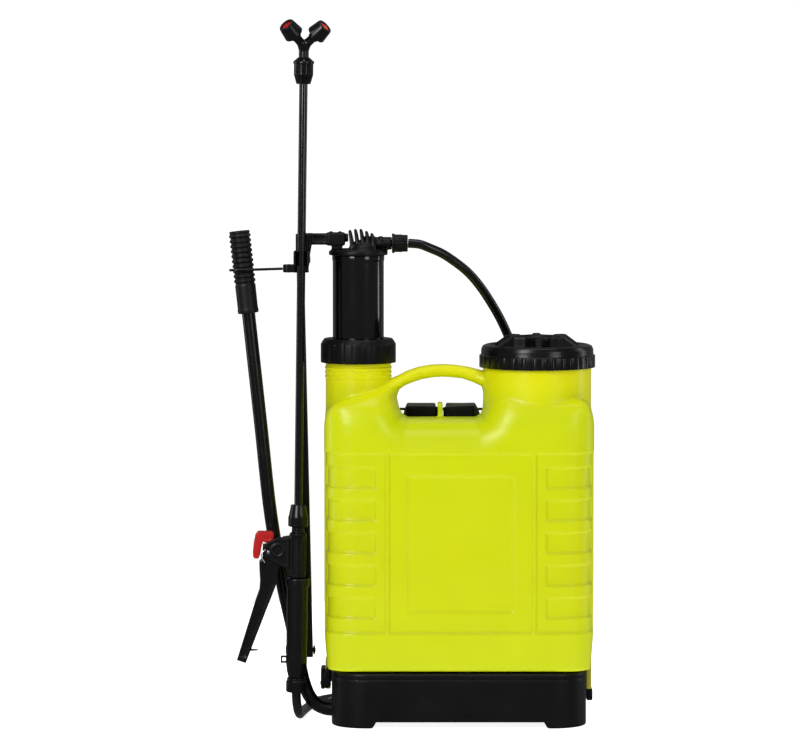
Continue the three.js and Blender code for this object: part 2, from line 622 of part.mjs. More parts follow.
for (const { side, top, web, pad, tail, buckle: [x, y, z], hook } of HARNESS) {
  const loop = along(ring(3.4, 7.5, -18, 18, 16), top, ...STRAP_BAR);
  add(frame, `strap_${side}`, join(loop, band(web, 34, 3, 10)), WEBBING);
  add(frame, `shoulder_pad_${side}`, band(pad, 56, 14, 8), FOAM);
  add(frame, `lower_strap_${side}`, band(tail, 25, 2.4, 14), WEBBING);
  add(frame, `strap_buckle_${side}`, box([x - 17, y + 4.5, z - 11], [x + 17, y + 7.5, z + 11]), BLACK);
  add(frame, `strap_hook_${side}`, join(...hook.map((corners) => box(...corners))), BLACK);
}

export default sprayer;
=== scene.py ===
"""Looks of the backpack sprayer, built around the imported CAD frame.

Lengths in the helpers are millimetres in the tank's own coordinates: X and Y from the
tank's middle in plan, Z from the ground. `place` turns them into the row frame's metres.
"""

import json
import math

import bpy
import numpy as np
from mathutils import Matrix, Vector


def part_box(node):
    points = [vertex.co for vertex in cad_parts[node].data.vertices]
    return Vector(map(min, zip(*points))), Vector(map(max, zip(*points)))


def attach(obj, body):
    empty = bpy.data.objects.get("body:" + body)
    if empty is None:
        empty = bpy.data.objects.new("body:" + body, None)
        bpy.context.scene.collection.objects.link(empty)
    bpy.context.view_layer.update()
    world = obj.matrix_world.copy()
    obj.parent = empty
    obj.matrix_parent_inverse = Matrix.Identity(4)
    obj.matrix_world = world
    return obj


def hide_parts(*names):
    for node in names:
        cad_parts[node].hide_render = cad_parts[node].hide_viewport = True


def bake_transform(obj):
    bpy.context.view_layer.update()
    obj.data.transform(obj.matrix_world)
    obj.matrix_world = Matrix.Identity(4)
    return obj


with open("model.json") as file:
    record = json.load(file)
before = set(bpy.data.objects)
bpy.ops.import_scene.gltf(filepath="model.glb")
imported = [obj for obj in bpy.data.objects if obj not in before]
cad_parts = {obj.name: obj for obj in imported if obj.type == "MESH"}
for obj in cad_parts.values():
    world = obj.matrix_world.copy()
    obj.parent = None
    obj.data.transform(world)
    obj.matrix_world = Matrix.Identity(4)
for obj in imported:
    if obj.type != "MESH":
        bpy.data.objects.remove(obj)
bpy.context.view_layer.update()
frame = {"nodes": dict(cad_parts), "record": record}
scene = bpy.context.scene

tank_low, tank_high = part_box("tank")
MIDDLE = np.array([(tank_low.x + tank_high.x) / 2, (tank_low.y + tank_high.y) / 2, 0.0])
MM = 0.001


def place(points):
    """Tank coordinates in mm to the row frame in metres."""
    return np.asarray(points, float) * MM + MIDDLE


# The axes of the pump and the filler neck, and the height of the pump's outlet.
PUMP_X = -120.6
FILLER_X = 94
OUTLET_Z = 575.3


# ---- camera, floor, light
CAMERA_AT = (-70.6, -5500, 821)
CAMERA_DOWN = 4.2
CAMERA_LENS = 206.8
camera = bpy.data.objects.new("camera", bpy.data.cameras.new("camera"))
scene.collection.objects.link(camera)
scene.camera = camera
camera.location = Vector(place(CAMERA_AT))
camera.rotation_euler = (math.radians(90 - CAMERA_DOWN), 0, 0)
camera.data.lens = CAMERA_LENS
camera.data.sensor_width = 36
camera.data.clip_start = 0.1
camera.data.clip_end = 100


def area_light(name, place_at, aim, size, power):
    """A rectangular light at `place_at`, facing `aim`, in metres and watts."""
    data = bpy.data.lights.new(name, "AREA")
    data.shape = "RECTANGLE"
    data.size, data.size_y = size
    data.energy = power
    light = bpy.data.objects.new(name, data)
    scene.collection.objects.link(light)
    light.location = place_at
    light.rotation_euler = (Vector(aim) - Vector(place_at)).to_track_quat("-Z", "Y").to_euler()
    return light


area_light("key", (-1.3, -2.4, 2.1), (0, 0, 0.4), (0.8, 1.6), 39).visible_glossy = False
area_light("highlight", (-1.3, -2.45, 1.7), (0, 0, 0.4), (1.0, 2.2), 64).visible_diffuse = False
area_light("fill", (1.8, -2.3, 1.3), (0, 0, 0.4), (0.9, 1.8), 17)
area_light("top", (0.1, -0.4, 2.8), (0, 0, 0.3), (2.0, 1.4), 18)
area_light("side_left", (-2.3, 0.5, 0.9), (-0.1, 0, 0.4), (0.3, 2.0), 8)
area_light("side_right", (2.3, 0.6, 0.9), (0.1, 0, 0.4), (0.3, 2.0), 7)
area_light("back", (0.4, 2.6, 1.6), (0, 0, 0.4), (1.8, 1.6), 26).visible_glossy = False


def add_node(tree, kind, inputs=None, **settings):
    """A shader node; each input, by name or number, takes a value or another node's output."""
    made = tree.nodes.new("ShaderNode" + kind)
    for key, value in settings.items():
        setattr(made, key, value)
    for socket, value in (inputs or {}).items():
        if isinstance(value, bpy.types.NodeSocket):
            tree.links.new(value, made.inputs[socket])
        else:
            made.inputs[socket].default_value = value
    return made


# The camera sees a white studio; the pieces are lit by a dimmer one.
SEEN_STRENGTH = 1.05
LIGHTING_STRENGTH = 0.16
world = bpy.data.worlds.new("studio")
scene.world = world
world.use_nodes = True
studio = world.node_tree
studio.nodes.clear()
lighting, seen = [
    add_node(studio, "Background", {"Color": (1, 1, 1, 1), "Strength": strength}).outputs["Background"]
    for strength in (LIGHTING_STRENGTH, SEEN_STRENGTH)
]
by_camera = add_node(studio, "LightPath").outputs["Is Camera Ray"]
chosen = add_node(studio, "MixShader", {"Fac": by_camera, 1: lighting, 2: seen})
add_node(studio, "OutputWorld", {"Surface": chosen.outputs["Shader"]})

scene.view_settings.view_transform = "Standard"
scene.view_settings.look = "None"
scene.view_settings.exposure = 0
scene.view_settings.gamma = 1

FLOOR_RADIUS = 0.95
FLOOR_BACK = 0.2
FLOOR_SIDES = 96
floor_data = bpy.data.meshes.new("floor")
floor_data.from_pydata([
    (FLOOR_RADIUS * math.cos(k * 2 * math.pi / FLOOR_SIDES),
     FLOOR_RADIUS * math.sin(k * 2 * math.pi / FLOOR_SIDES) + FLOOR_BACK, 0)
    for k in range(FLOOR_SIDES)
], [], [tuple(range(FLOOR_SIDES))])
floor = bpy.data.objects.new("floor", floor_data)
scene.collection.objects.link(floor)


# ---- materials
def principled(name, color, roughness, metallic=0.0, specular=0.5, sheen=0.0, subsurface=0.0):
    """A material with these values: the material, its node tree and its shader node."""
    material = bpy.data.materials.new(name)
    material.use_nodes = True
    shader = material.node_tree.nodes["Principled BSDF"]
    values = {
        "Base Color": (*color, 1), "Roughness": roughness, "Metallic": metallic,
        "Specular IOR Level": specular, "Sheen Weight": sheen, "Sheen Roughness": 0.5,
        "Subsurface Weight": subsurface, "Subsurface Radius": (0.004, 0.004, 0.001), "Subsurface Scale": 1.0,
    }
    for socket, value in values.items():
        shader.inputs[socket].default_value = value
    return material, material.node_tree, shader


def noise(tree, scale, detail=4, stretch=(1, 1, 1)):
    """Noise in the object's own coordinates, so that it stays with the piece."""
    coords = add_node(tree, "TexCoord").outputs["Object"]
    mapped = add_node(tree, "Mapping", {"Scale": stretch, "Vector": coords}).outputs["Vector"]
    return add_node(tree, "TexNoise", {"Scale": scale, "Detail": detail, "Vector": mapped}).outputs["Fac"]


def spread(tree, value, low, high, start=0.3, stop=0.7):
    """Maps a texture's value to low..high."""
    limits = {"From Min": start, "From Max": stop, "To Min": low, "To Max": high}
    return add_node(tree, "MapRange", {**limits, "Value": value}).outputs["Result"]


def tint(tree, shader, value, color_a, color_b):
    """Base colour from color_a where the value is 0 to color_b where it is 1."""
    mix = add_node(tree, "Mix", {6: (*color_a, 1), 7: (*color_b, 1), 0: value}, data_type="RGBA")
    tree.links.new(mix.outputs[2], shader.inputs["Base Color"])


def bump(tree, shader, height, strength, distance):
    """Relief added to what the shader's normal already has."""
    relief = add_node(tree, "Bump", {"Strength": strength, "Distance": distance, "Height": height})
    chained = shader.inputs["Normal"]
    if chained.is_linked:
        tree.links.new(chained.links[0].from_socket, relief.inputs["Normal"])
    tree.links.new(relief.outputs["Normal"], chained)


def moulded(name, dark, light, rough, grain=0.00012, grain_scale=900, **looks):
    """Moulded plastic: uneven colour and gloss, a fine pebbled skin and slow waves in the surface."""
    material, tree, shader = principled(name, dark, sum(rough) / 2, **looks)
    tint(tree, shader, spread(tree, noise(tree, 14), 0, 1), dark, light)
    tree.links.new(spread(tree, noise(tree, 38, 6), *rough), shader.inputs["Roughness"])
    bump(tree, shader, noise(tree, 11, 2), 0.25, 0.0012)
    bump(tree, shader, noise(tree, grain_scale, 2), 0.35, grain)
    return material


# The tank's yellow by height, from the lower height to the upper one, in metres: painted light, lighter and
# warmer toward the top where more light falls.
PAINTED_LIGHT_LOW, PAINTED_LIGHT_HIGH = 0.06, 0.42
PAINTED_LIGHT_STOPS = (
    (0.0, (0.585, 0.66, 0.001, 1)), (0.4, (0.675, 0.73, 0.001, 1)), (0.86, (0.75, 0.85, 0.002, 1)),
    (1.0, (0.99, 0.975, 0.003, 1)),
)


def tank_material():
    """The tank's yellow with painted light: lighter and warmer toward the necks and the handle."""
    material = moulded("tank_yellow", (0.94, 0.945, 0.94), (0.975, 0.98, 0.975), (0.28, 0.37), 0.00006, 700,
                       specular=0.29, subsurface=0.04)
    tree = material.node_tree
    shader = tree.nodes["Principled BSDF"]
    unevenness = shader.inputs["Base Color"].links[0].from_socket
    position = add_node(tree, "SeparateXYZ", {0: add_node(tree, "TexCoord").outputs["Object"]})
    # Painted light: a colour ramp by height makes the tank's yellow lighter and warmer toward the top.
    share = spread(tree, position.outputs["Z"], 0, 1, PAINTED_LIGHT_LOW, PAINTED_LIGHT_HIGH)
    shade = add_node(tree, "ValToRGB", {"Fac": share})
    stops = shade.color_ramp.elements
    stops[0].color = PAINTED_LIGHT_STOPS[0][1]
    stops[1].color = PAINTED_LIGHT_STOPS[-1][1]
    for at, colour in PAINTED_LIGHT_STOPS[1:-1]:
        stops.new(at).color = colour
    product = add_node(tree, "VectorMath", {0: unevenness, 1: shade.outputs["Color"]}, operation="MULTIPLY")
    tree.links.new(product.outputs["Vector"], shader.inputs["Base Color"])
    return material


def floor_material():
    """White, with a glow that keeps it as white as the studio behind it."""
    material, tree, shader = principled("studio_floor", (0.93, 0.93, 0.93), 0.9, specular=0.1)
    tint(tree, shader, spread(tree, noise(tree, 2), 0, 1), (0.925, 0.925, 0.925), (0.94, 0.94, 0.94))
    shader.inputs["Emission Color"].default_value = (1, 1, 1, 1)
    shader.inputs["Emission Strength"].default_value = 0.9
    return material


YELLOW = tank_material()
# The lugs' colour is the tank's yellow darkened: painted shade, as the yellow looks in the shadow next to the
# base.
YELLOW_PAINTED_SHADE = moulded("lug_yellow_painted_shade", (0.36, 0.33, 0.02), (0.42, 0.37, 0.02), (0.4, 0.5))
BLACK = moulded("black_plastic", (0.0022, 0.0020, 0.0025), (0.0040, 0.0037, 0.0045), (0.3, 0.42),
                specular=0.22)
SATIN = moulded("black_satin", (0.0018, 0.0017, 0.0021), (0.0034, 0.0032, 0.0038), (0.18, 0.28), 0.00002,
                specular=0.38)
GLOSS = moulded("black_gloss", (0.0014, 0.0013, 0.0016), (0.0028, 0.0026, 0.0031), (0.09, 0.15), 0.000005,
                specular=0.6)
HOSE = moulded("hose_black", (0.0024, 0.0023, 0.0027), (0.0045, 0.0043, 0.0048), (0.2, 0.3), 0.00005,
               specular=0.45)
RUBBER = moulded("grip_rubber", (0.0036, 0.0034, 0.0038), (0.0065, 0.0062, 0.0066), (0.36, 0.5), 0.0002, 1100,
                 specular=0.24)
RED = moulded("red_plastic", (0.42, 0.004, 0.006), (0.5, 0.008, 0.008), (0.28, 0.4), 0.00008,
              specular=0.3, subsurface=0.05)
ORANGE = moulded("orange_plastic", (0.72, 0.05, 0.02), (0.8, 0.08, 0.03), (0.3, 0.42), 0.00008,
                 subsurface=0.08)
WHITE = moulded("white_plastic", (0.72, 0.72, 0.68), (0.78, 0.78, 0.74), (0.35, 0.5), subsurface=0.1)


def metal(name, dark, light):
    """Drawn metal with fine streaks and uneven gloss."""
    material, tree, shader = principled(name, dark, 0.25, metallic=1.0)
    tree.links.new(spread(tree, noise(tree, 260, 5, (1, 1, 9)), 0.16, 0.4), shader.inputs["Roughness"])
    tint(tree, shader, spread(tree, noise(tree, 60), 0, 1), dark, light)
    bump(tree, shader, noise(tree, 900, 3, (1, 1, 12)), 0.3, 0.00004)
    return material


def woven(name, dark, light, threads, relief):
    """Cloth woven along the piece's own U (length) and V (width), both in metres."""
    material, tree, shader = principled(name, dark, 0.85, specular=0.25, sheen=0.25)
    parts = add_node(tree, "SeparateXYZ", {0: add_node(tree, "UVMap").outputs["UV"]})
    waves = {}
    for number, (socket, rate) in enumerate((("X", threads), ("Y", threads * 0.8))):
        scaled = add_node(tree, "Math", {1: rate, 0: parts.outputs[socket]}, operation="MULTIPLY")
        waves[number] = add_node(tree, "Math", {0: scaled.outputs[0]}, operation="SINE").outputs[0]
    product = add_node(tree, "Math", waves, operation="MULTIPLY")
    weave = spread(tree, product.outputs[0], 0, 1, -1, 1)
    tint(tree, shader, weave, dark, light)
    tree.links.new(spread(tree, noise(tree, 120, 4), 0.72, 0.95), shader.inputs["Roughness"])
    bump(tree, shader, noise(tree, 700, 3), 0.3, 0.0002)
    bump(tree, shader, weave, 0.8, relief)
    return material


STEEL = metal("steel", (0.5, 0.51, 0.52), (0.62, 0.63, 0.64))
BLACKENED = metal("blackened_steel", (0.014, 0.014, 0.015), (0.03, 0.03, 0.032))
WEBBING = woven("webbing_weave", (0.0045, 0.0045, 0.005), (0.014, 0.014, 0.015), 2800, 0.0004)
LOOP_CLOTH = moulded("loop_cloth", (0.0022, 0.0021, 0.0024), (0.006, 0.0058, 0.0064), (0.65, 0.8), 0.0003,
                     1400, specular=0.12)
PAD_CLOTH = woven("pad_cloth", (0.008, 0.008, 0.009), (0.022, 0.022, 0.024), 4200, 0.00025)
floor_data.materials.append(floor_material())
floor.visible_glossy = False


# ---- pieces
def finished(obj, body, material, slot, *nodes):
    """Material, body and the CAD nodes that the piece stands for; `slot` is not used."""
    obj.data.materials.append(material)
    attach(obj, body)
    if nodes:
        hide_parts(*nodes)
    return obj


def from_arrays(name, points, faces, crease=0.6):
    """A smooth mesh from tank coordinates; edges sharper than `crease` radians stay sharp."""
    data = bpy.data.meshes.new(name)
    data.from_pydata(place(points).tolist(), [], [list(map(int, f)) for f in faces])
    data.validate()
    data.update()
    obj = bpy.data.objects.new(name, data)
    scene.collection.objects.link(obj)
    data.polygons.foreach_set("use_smooth", [True] * len(data.polygons))
    data.set_sharp_from_angle(angle=crease)
    return obj


def turn(points, axis, degrees):
    """Rotates points about X, Y or Z through the origin."""
    a = math.radians(degrees)
    c, s = math.cos(a), math.sin(a)
    p = np.asarray(points, float)
    i, j = {"X": (1, 2), "Y": (2, 0), "Z": (0, 1)}[axis]
    q = p.copy()
    q[:, i] = p[:, i] * c - p[:, j] * s
    q[:, j] = p[:, i] * s + p[:, j] * c
    return q


# ---- soft solids: a field in mm, negative inside, made into quads
def ramp(distance, width):
    """1 well inside (negative distance), 0 outside, smooth over `width`."""
    t = np.clip(0.5 - distance / width, 0, 1)
    return t * t * (3 - 2 * t)


def both(a, b, soft=0.0):
    """Intersection with its edge rounded."""
    h = np.maximum(soft - np.abs(a - b), 0) / np.maximum(soft, 1e-9)
    return np.maximum(a, b) + h * h * soft / 4


def either(a, b, soft=0.0):
    """Union with its inner corner filled."""
    return -both(-a, -b, soft)


def less(a, b, soft=0.0):
    """a with b taken away."""
    return both(a, -b, soft)


def rectangle(u, v, low, high, corner=0.0):
    """Signed distance to a flat rectangle with rounded corners."""
    cu, cv = (low[0] + high[0]) / 2, (low[1] + high[1]) / 2
    qu = np.abs(u - cu) - (high[0] - low[0]) / 2 + corner
    qv = np.abs(v - cv) - (high[1] - low[1]) / 2 + corner
    outside = np.hypot(np.maximum(qu, 0), np.maximum(qv, 0))
    return outside + np.minimum(np.maximum(qu, qv), 0) - corner


def block(x, y, z, low, high, corner=0.0):
    """Signed distance to a box with rounded edges."""
    q = [np.abs(p - (a + b) / 2) - (b - a) / 2 + corner for p, a, b in zip((x, y, z), low, high)]
    outside = np.sqrt(sum(np.maximum(d, 0) ** 2 for d in q))
    return outside + np.minimum(np.maximum(np.maximum(q[0], q[1]), q[2]), 0) - corner



def between(z, low, high):
    """Negative between two heights."""
    return np.maximum(low - z, z - high)


def rod(x, y, z, a, b, radius_a, radius_b=None):
    """A round-ended bar from a to b, of one radius or tapering."""
    a, b = np.asarray(a, float), np.asarray(b, float)
    d = b - a
    t = np.clip(((x - a[0]) * d[0] + (y - a[1]) * d[1] + (z - a[2]) * d[2]) / (d @ d), 0, 1)
    away = np.sqrt(sum((p - q - t * n) ** 2 for p, q, n in zip((x, y, z), a, d)))
    return away - (radius_a + t * ((radius_b or radius_a) - radius_a))


def drum(x, y, z, axis, centre, radius, half, soft=1.0):
    """A cylinder along X, Y or Z with rounded rims."""
    across = [p - c for p, c in zip((x, y, z), centre)]
    along = across.pop("XYZ".index(axis))
    return both(np.hypot(*across) - radius, np.abs(along) - half, soft)


def polygon(u, v, points):
    """Signed distance to a closed outline."""
    points = np.asarray(points, float)
    nearest = None
    inside = None
    for (u0, v0), (u1, v1) in zip(points, np.roll(points, -1, axis=0)):
        du, dv = u1 - u0, v1 - v0
        t = np.clip(((u - u0) * du + (v - v0) * dv) / (du * du + dv * dv), 0, 1)
        away = (u - u0 - t * du) ** 2 + (v - v0 - t * dv) ** 2
        crossing = (v >= v0) != (v >= v1)
        if dv:
            crossing = crossing & ((u - u0) * abs(dv) < (v - v0) * du * np.sign(dv))
        nearest = away if nearest is None else np.minimum(nearest, away)
        inside = crossing if inside is None else inside ^ crossing
    return np.where(inside, -1.0, 1.0) * np.sqrt(nearest)


def surface_net(name, field, low, high, step, to=None, settle=3, crease=0.9):
    """A closed quad mesh where the field is zero; `to` takes its points to tank coordinates."""
    counts = [int(math.ceil((b - a) / step)) + 1 for a, b in zip(low, high)]
    x, y, z = np.meshgrid(*[a + step * np.arange(n) for a, n in zip(low, counts)], indexing="ij", sparse=True)
    d = np.broadcast_to(field(x, y, z), counts).astype(np.float32)
    inside = d < 0
    filled = np.zeros([n - 1 for n in counts], np.int8)
    corners = [(i, j, k) for i in (0, 1) for j in (0, 1) for k in (0, 1)]
    for i, j, k in corners:
        filled += inside[i:counts[0] - 1 + i, j:counts[1] - 1 + j, k:counts[2] - 1 + k]
    active = (filled > 0) & (filled < 8)
    cells = np.argwhere(active)
    number = np.full(active.shape, -1, np.int64)
    number[active] = np.arange(len(cells))
    total = np.zeros((len(cells), 3))
    crossings = np.zeros(len(cells))
    for a in corners:
        for axis in range(3):
            if a[axis]:
                continue
            b = tuple(v + (n == axis) for n, v in enumerate(a))
            da = d[tuple((cells + a).T)].astype(float)
            db = d[tuple((cells + b).T)].astype(float)
            cross = (da < 0) != (db < 0)
            share = da[cross] / (da[cross] - db[cross])
            point = cells[cross] + np.array(a, float)
            point[:, axis] += share
            total[cross] += point
            crossings[cross] += 1
    points = np.asarray(low, float) + step * total / crossings[:, None]

    faces = []
    for axis in range(3):
        u, v = (axis + 1) % 3, (axis + 2) % 3
        first = [slice(1, n - 1) for n in counts]
        first[axis] = slice(0, counts[axis] - 1)
        second = list(first)
        second[axis] = slice(1, counts[axis])
        changed = inside[tuple(first)] != inside[tuple(second)]
        at = np.argwhere(changed) + [s.start for s in first]
        quad = []
        for du, dv in ((0, 0), (1, 0), (1, 1), (0, 1)):
            cell = at.copy()
            cell[:, u] -= du
            cell[:, v] -= dv
            quad.append(number[tuple(cell.T)])
        quad = np.array(quad).T
        outward = inside[tuple(at.T)]
        quad[~outward] = quad[~outward][:, ::-1]
        faces.append(quad)
    faces = np.concatenate(faces)

    edges = np.concatenate([faces[:, [i, (i + 1) % 4]] for i in range(4)])
    edges = np.concatenate([edges, edges[:, ::-1]])
    small = step * 0.08
    for _ in range(settle):
        neighbours = np.zeros_like(points)
        np.add.at(neighbours, edges[:, 0], points[edges[:, 1]])
        degree = np.bincount(edges[:, 0], minlength=len(points))[:, None]
        points += 0.5 * (neighbours / degree - points)
        for _ in range(2):
            value = field(*points.T)
            slope = np.stack([
                field(*(points + small * np.eye(3)[axis]).T) - field(*(points - small * np.eye(3)[axis]).T)
                for axis in range(3)
            ], axis=1) / (2 * small)
            size = np.maximum((slope ** 2).sum(axis=1), 0.2)
            shift = -(value / size)[:, None] * slope
            length = np.maximum(np.linalg.norm(shift, axis=1, keepdims=True), 1e-9)
            points += shift * np.minimum(1, 0.4 * step / length)
    return from_arrays(name, to(points) if to else points, faces, crease=crease)


# ---- turned pieces
def rounded(profile, radii, steps=4):
    """A profile whose corners are replaced by arcs; one radius for all, or a dict by corner."""
    points = [np.array(p, float) for p in profile]
    made = []
    for i, p in enumerate(points):
        radius = radii.get(i, 0) if isinstance(radii, dict) else radii
        before, after = points[i - 1] - p, points[(i + 1) % len(points)] - p
        la, lb = np.linalg.norm(before), np.linalg.norm(after)
        cosine = np.clip((before @ after) / (la * lb), -1, 1)
        angle = math.acos(cosine)
        if radius <= 0 or angle > 3.05 or p[0] <= 1e-6:
            made.append(p)
            continue
        reach = min(radius / math.tan(angle / 2), la * 0.46, lb * 0.46)
        start, end = p + before / la * reach, p + after / lb * reach
        for k in range(steps + 1):
            t = k / steps
            made.append((1 - t) ** 2 * start + 2 * t * (1 - t) * p + t * t * end)
    return np.array(made)


def turned(name, profile, to, segments=64, shape=None, crease=0.6):
    """A closed profile of [radius, height] turned about Z, then taken to tank coordinates by
    `to`. `shape` may change the radii: shape(angle, radius, height)."""
    profile = np.asarray(profile, float)
    area = sum(a[0] * b[1] - b[0] * a[1] for a, b in zip(profile, np.roll(profile, -1, axis=0)))
    if area < 0:
        profile = profile[::-1]
    angles = np.arange(segments) * 2 * math.pi / segments
    radius = np.repeat(profile[None, :, 0], segments, axis=0)
    height = np.repeat(profile[None, :, 1], segments, axis=0)
    if shape:
        radius = np.where(radius > 1e-6, shape(angles[:, None], radius, height), 0)
    points = np.stack([radius * np.cos(angles)[:, None], radius * np.sin(angles)[:, None], height], axis=2)
    count = len(profile)
    points = points.reshape(-1, 3)
    on_axis = profile[:, 0] <= 1e-6
    owner = np.arange(len(points)).reshape(segments, count)
    owner[:, on_axis] = owner[0, on_axis]
    faces = []
    for i in range(segments):
        j = (i + 1) % segments
        for k in range(count):
            n = (k + 1) % count
            face = [owner[i, k], owner[j, k], owner[j, n], owner[i, n]]
            face = [f for m, f in enumerate(face) if f != face[m - 1]]
            if len(face) >= 3 and len(set(face)) == len(face):
                faces.append(face)
    used = np.unique(np.concatenate([np.array(f) for f in faces]))
    renumber = np.full(len(points), -1)
    renumber[used] = np.arange(len(used))
    faces = [[renumber[v] for v in f] for f in faces]
    points = points[used]
    return from_arrays(name, to(points), faces, crease=crease)


def upright(x, y):
    """Keeps Z, moves the axis."""
    return lambda p: p + np.array([x, y, 0.0])


def along_x(x, y, z):
    """Z becomes +X."""
    return lambda p: p[:, [2, 0, 1]] + np.array([x, y, z])


def hexagon(across, above):
    """Makes the radii over `above` six-sided."""
    def shape(angle, radius, height):
        flat = (across / 2) / np.cos((angle + math.pi / 6) % (math.pi / 3) - math.pi / 6)
        return np.where(radius > above, np.minimum(radius, flat), radius)
    return shape


def ribs(count, depth, low, high, groove):
    """Upright grooves round a turned piece, between two heights; `groove` is the share they take."""
    def shape(angle, radius, height):
        away = np.abs((angle * count / (2 * math.pi)) % 1 - 0.5) - groove / 2
        band = ramp(np.abs(height - (low + high) / 2) - (high - low) / 2, 0.6)
        return radius - depth * ramp(away, 0.16) * band
    return shape


# ---- swept pieces
def smooth_path(points, count):
    """Points along a centripetal Catmull-Rom curve, evenly spaced."""
    p = np.asarray(points, float)
    p = np.vstack([2 * p[0] - p[1], p, 2 * p[-1] - p[-2]])
    made = []
    for i in range(1, len(p) - 2):
        knots = [0.0]
        for j in range(3):
            knots.append(knots[-1] + max(np.linalg.norm(p[i + j] - p[i + j - 1]) ** 0.5, 1e-6))
        t0, t1, t2, t3 = knots
        t = np.linspace(t1, t2, 24, endpoint=False)[:, None]
        a1 = (t1 - t) / (t1 - t0) * p[i - 1] + (t - t0) / (t1 - t0) * p[i]
        a2 = (t2 - t) / (t2 - t1) * p[i] + (t - t1) / (t2 - t1) * p[i + 1]
        a3 = (t3 - t) / (t3 - t2) * p[i + 1] + (t - t2) / (t3 - t2) * p[i + 2]
        b1 = (t2 - t) / (t2 - t0) * a1 + (t - t0) / (t2 - t0) * a2
        b2 = (t3 - t) / (t3 - t1) * a2 + (t - t1) / (t3 - t1) * a3
        made.append((t2 - t) / (t2 - t1) * b1 + (t - t1) / (t2 - t1) * b2)
    made.append(p[-2][None])
    made = np.concatenate(made)
    along = np.concatenate([[0], np.cumsum(np.linalg.norm(np.diff(made, axis=0), axis=1))])
    even = np.linspace(0, along[-1], count)
    return np.stack([np.interp(even, along, made[:, k]) for k in range(3)], axis=1), along[-1]


def swept(name, path, section, across=None, shape=None):
    """A closed section swept along a path. `across` fixes the section's U direction, one
    vector or one per point; without it the section is carried along with no twist.
    `shape(section, share)` may change the section along the way."""
    path = np.asarray(path, float)
    section = np.asarray(section, float)
    tangent = np.gradient(path, axis=0)
    tangent /= np.linalg.norm(tangent, axis=1, keepdims=True)
    count, sides = len(path), len(section)
    u = np.array([0, 1, 0], float) if abs(tangent[0][1]) < 0.9 else np.array([1, 0, 0], float)
    points, lengths = [], np.concatenate([[0], np.cumsum(np.linalg.norm(np.diff(path, axis=0), axis=1))])
    for i in range(count):
        if across is not None:
            given = np.asarray(across, float)
            u = given if given.ndim == 1 else given[i]
        u = u - (u @ tangent[i]) * tangent[i]
        u /= np.linalg.norm(u)
        v = np.cross(tangent[i], u)
        s = shape(section, lengths[i] / lengths[-1]) if shape else section
        points.append(path[i] + s[:, :1] * u + s[:, 1:] * v)
    points = np.concatenate(points)
    faces = [
        [i * sides + k, i * sides + (k + 1) % sides, (i + 1) * sides + (k + 1) % sides, (i + 1) * sides + k]
        for i in range(count - 1) for k in range(sides)
    ]
    faces.append(list(range(sides))[::-1])
    faces.append([(count - 1) * sides + k for k in range(sides)])
    obj = from_arrays(name, points, faces)
    layer = obj.data.uv_layers.new(name="UV")
    reach = np.concatenate([[0], np.cumsum(np.linalg.norm(np.diff(section, axis=0), axis=1))])
    coordinates = []
    for face in obj.data.polygons:
        for k in face.vertices:
            coordinates += [lengths[k // sides] * MM, reach[k % sides] * MM]
    layer.data.foreach_set("uv", coordinates)
    return obj


def circle(radius, sides=20):
    """A round section."""
    a = np.arange(sides) * 2 * math.pi / sides
    return np.stack([np.cos(a), np.sin(a)], axis=1) * radius


def flat_section(width, thickness, across=9, edge=5):
    """A flat band's section with rounded edges."""
    corner = thickness * 0.45
    half_u, half_v = width / 2 - corner, thickness / 2 - corner
    made = []
    for quarter, (su, sv) in enumerate(((1, 1), (-1, 1), (-1, -1), (1, -1))):
        for k in range(edge):
            a = (quarter + k / (edge - 1)) * math.pi / 2
            made.append((su * half_u + corner * math.cos(a), sv * half_v + corner * math.sin(a)))
        if quarter in (0, 2):
            shares = np.linspace(0, 1, across)[1:-1]
            made += [(su * half_u * (1 - 2 * t), sv * (half_v + corner)) for t in shares]
    return np.array(made)


# ---- hose, which is a cord
HOSE_DIAMETER = 11.0
HOSE_ROUTE = [
    [-60.7, 0, OUTLET_Z], [-47, 1, 574], [-33.9, 3, 569], [-21, 7, 563.2], [-9.4, 12, 555.8], [10, 20, 540.5],
    [25.3, 30, 522.8], [40.3, 42, 500], [51.7, 54, 479.4], [61, 65, 459], [71, 76, 436], [84, 82, 405],
    [97, 84, 365], [106, 84, 320], [112, 83, 260], [114, 82.5, 200], [114, 83, 140], [113, 86, 92],
    [109, 94, 55], [101, 107, 28], [88, 123, 12], [68, 137, 6.3], [38, 149, 6], [0, 156, 6], [-45, 159, 6],
    [-90, 159, 6], [-128, 154, 6], [-155, 140, 6], [-172, 116, 6], [-180, 84, 6], [-185.8, 50, 6],
    [-190, 20, 6], [-191.6, -2, 7.5], [-193.2, -17, 14], [-194.6, -25.5, 25], [-195.22, -28, 37.6],
]
hose_path, hose_length = smooth_path(HOSE_ROUTE, 340)
hose = swept("hose_tube", hose_path, circle(HOSE_DIAMETER / 2, 24))
hose.data.materials.append(HOSE)
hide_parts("hose")
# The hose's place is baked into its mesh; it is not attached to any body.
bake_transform(hose)


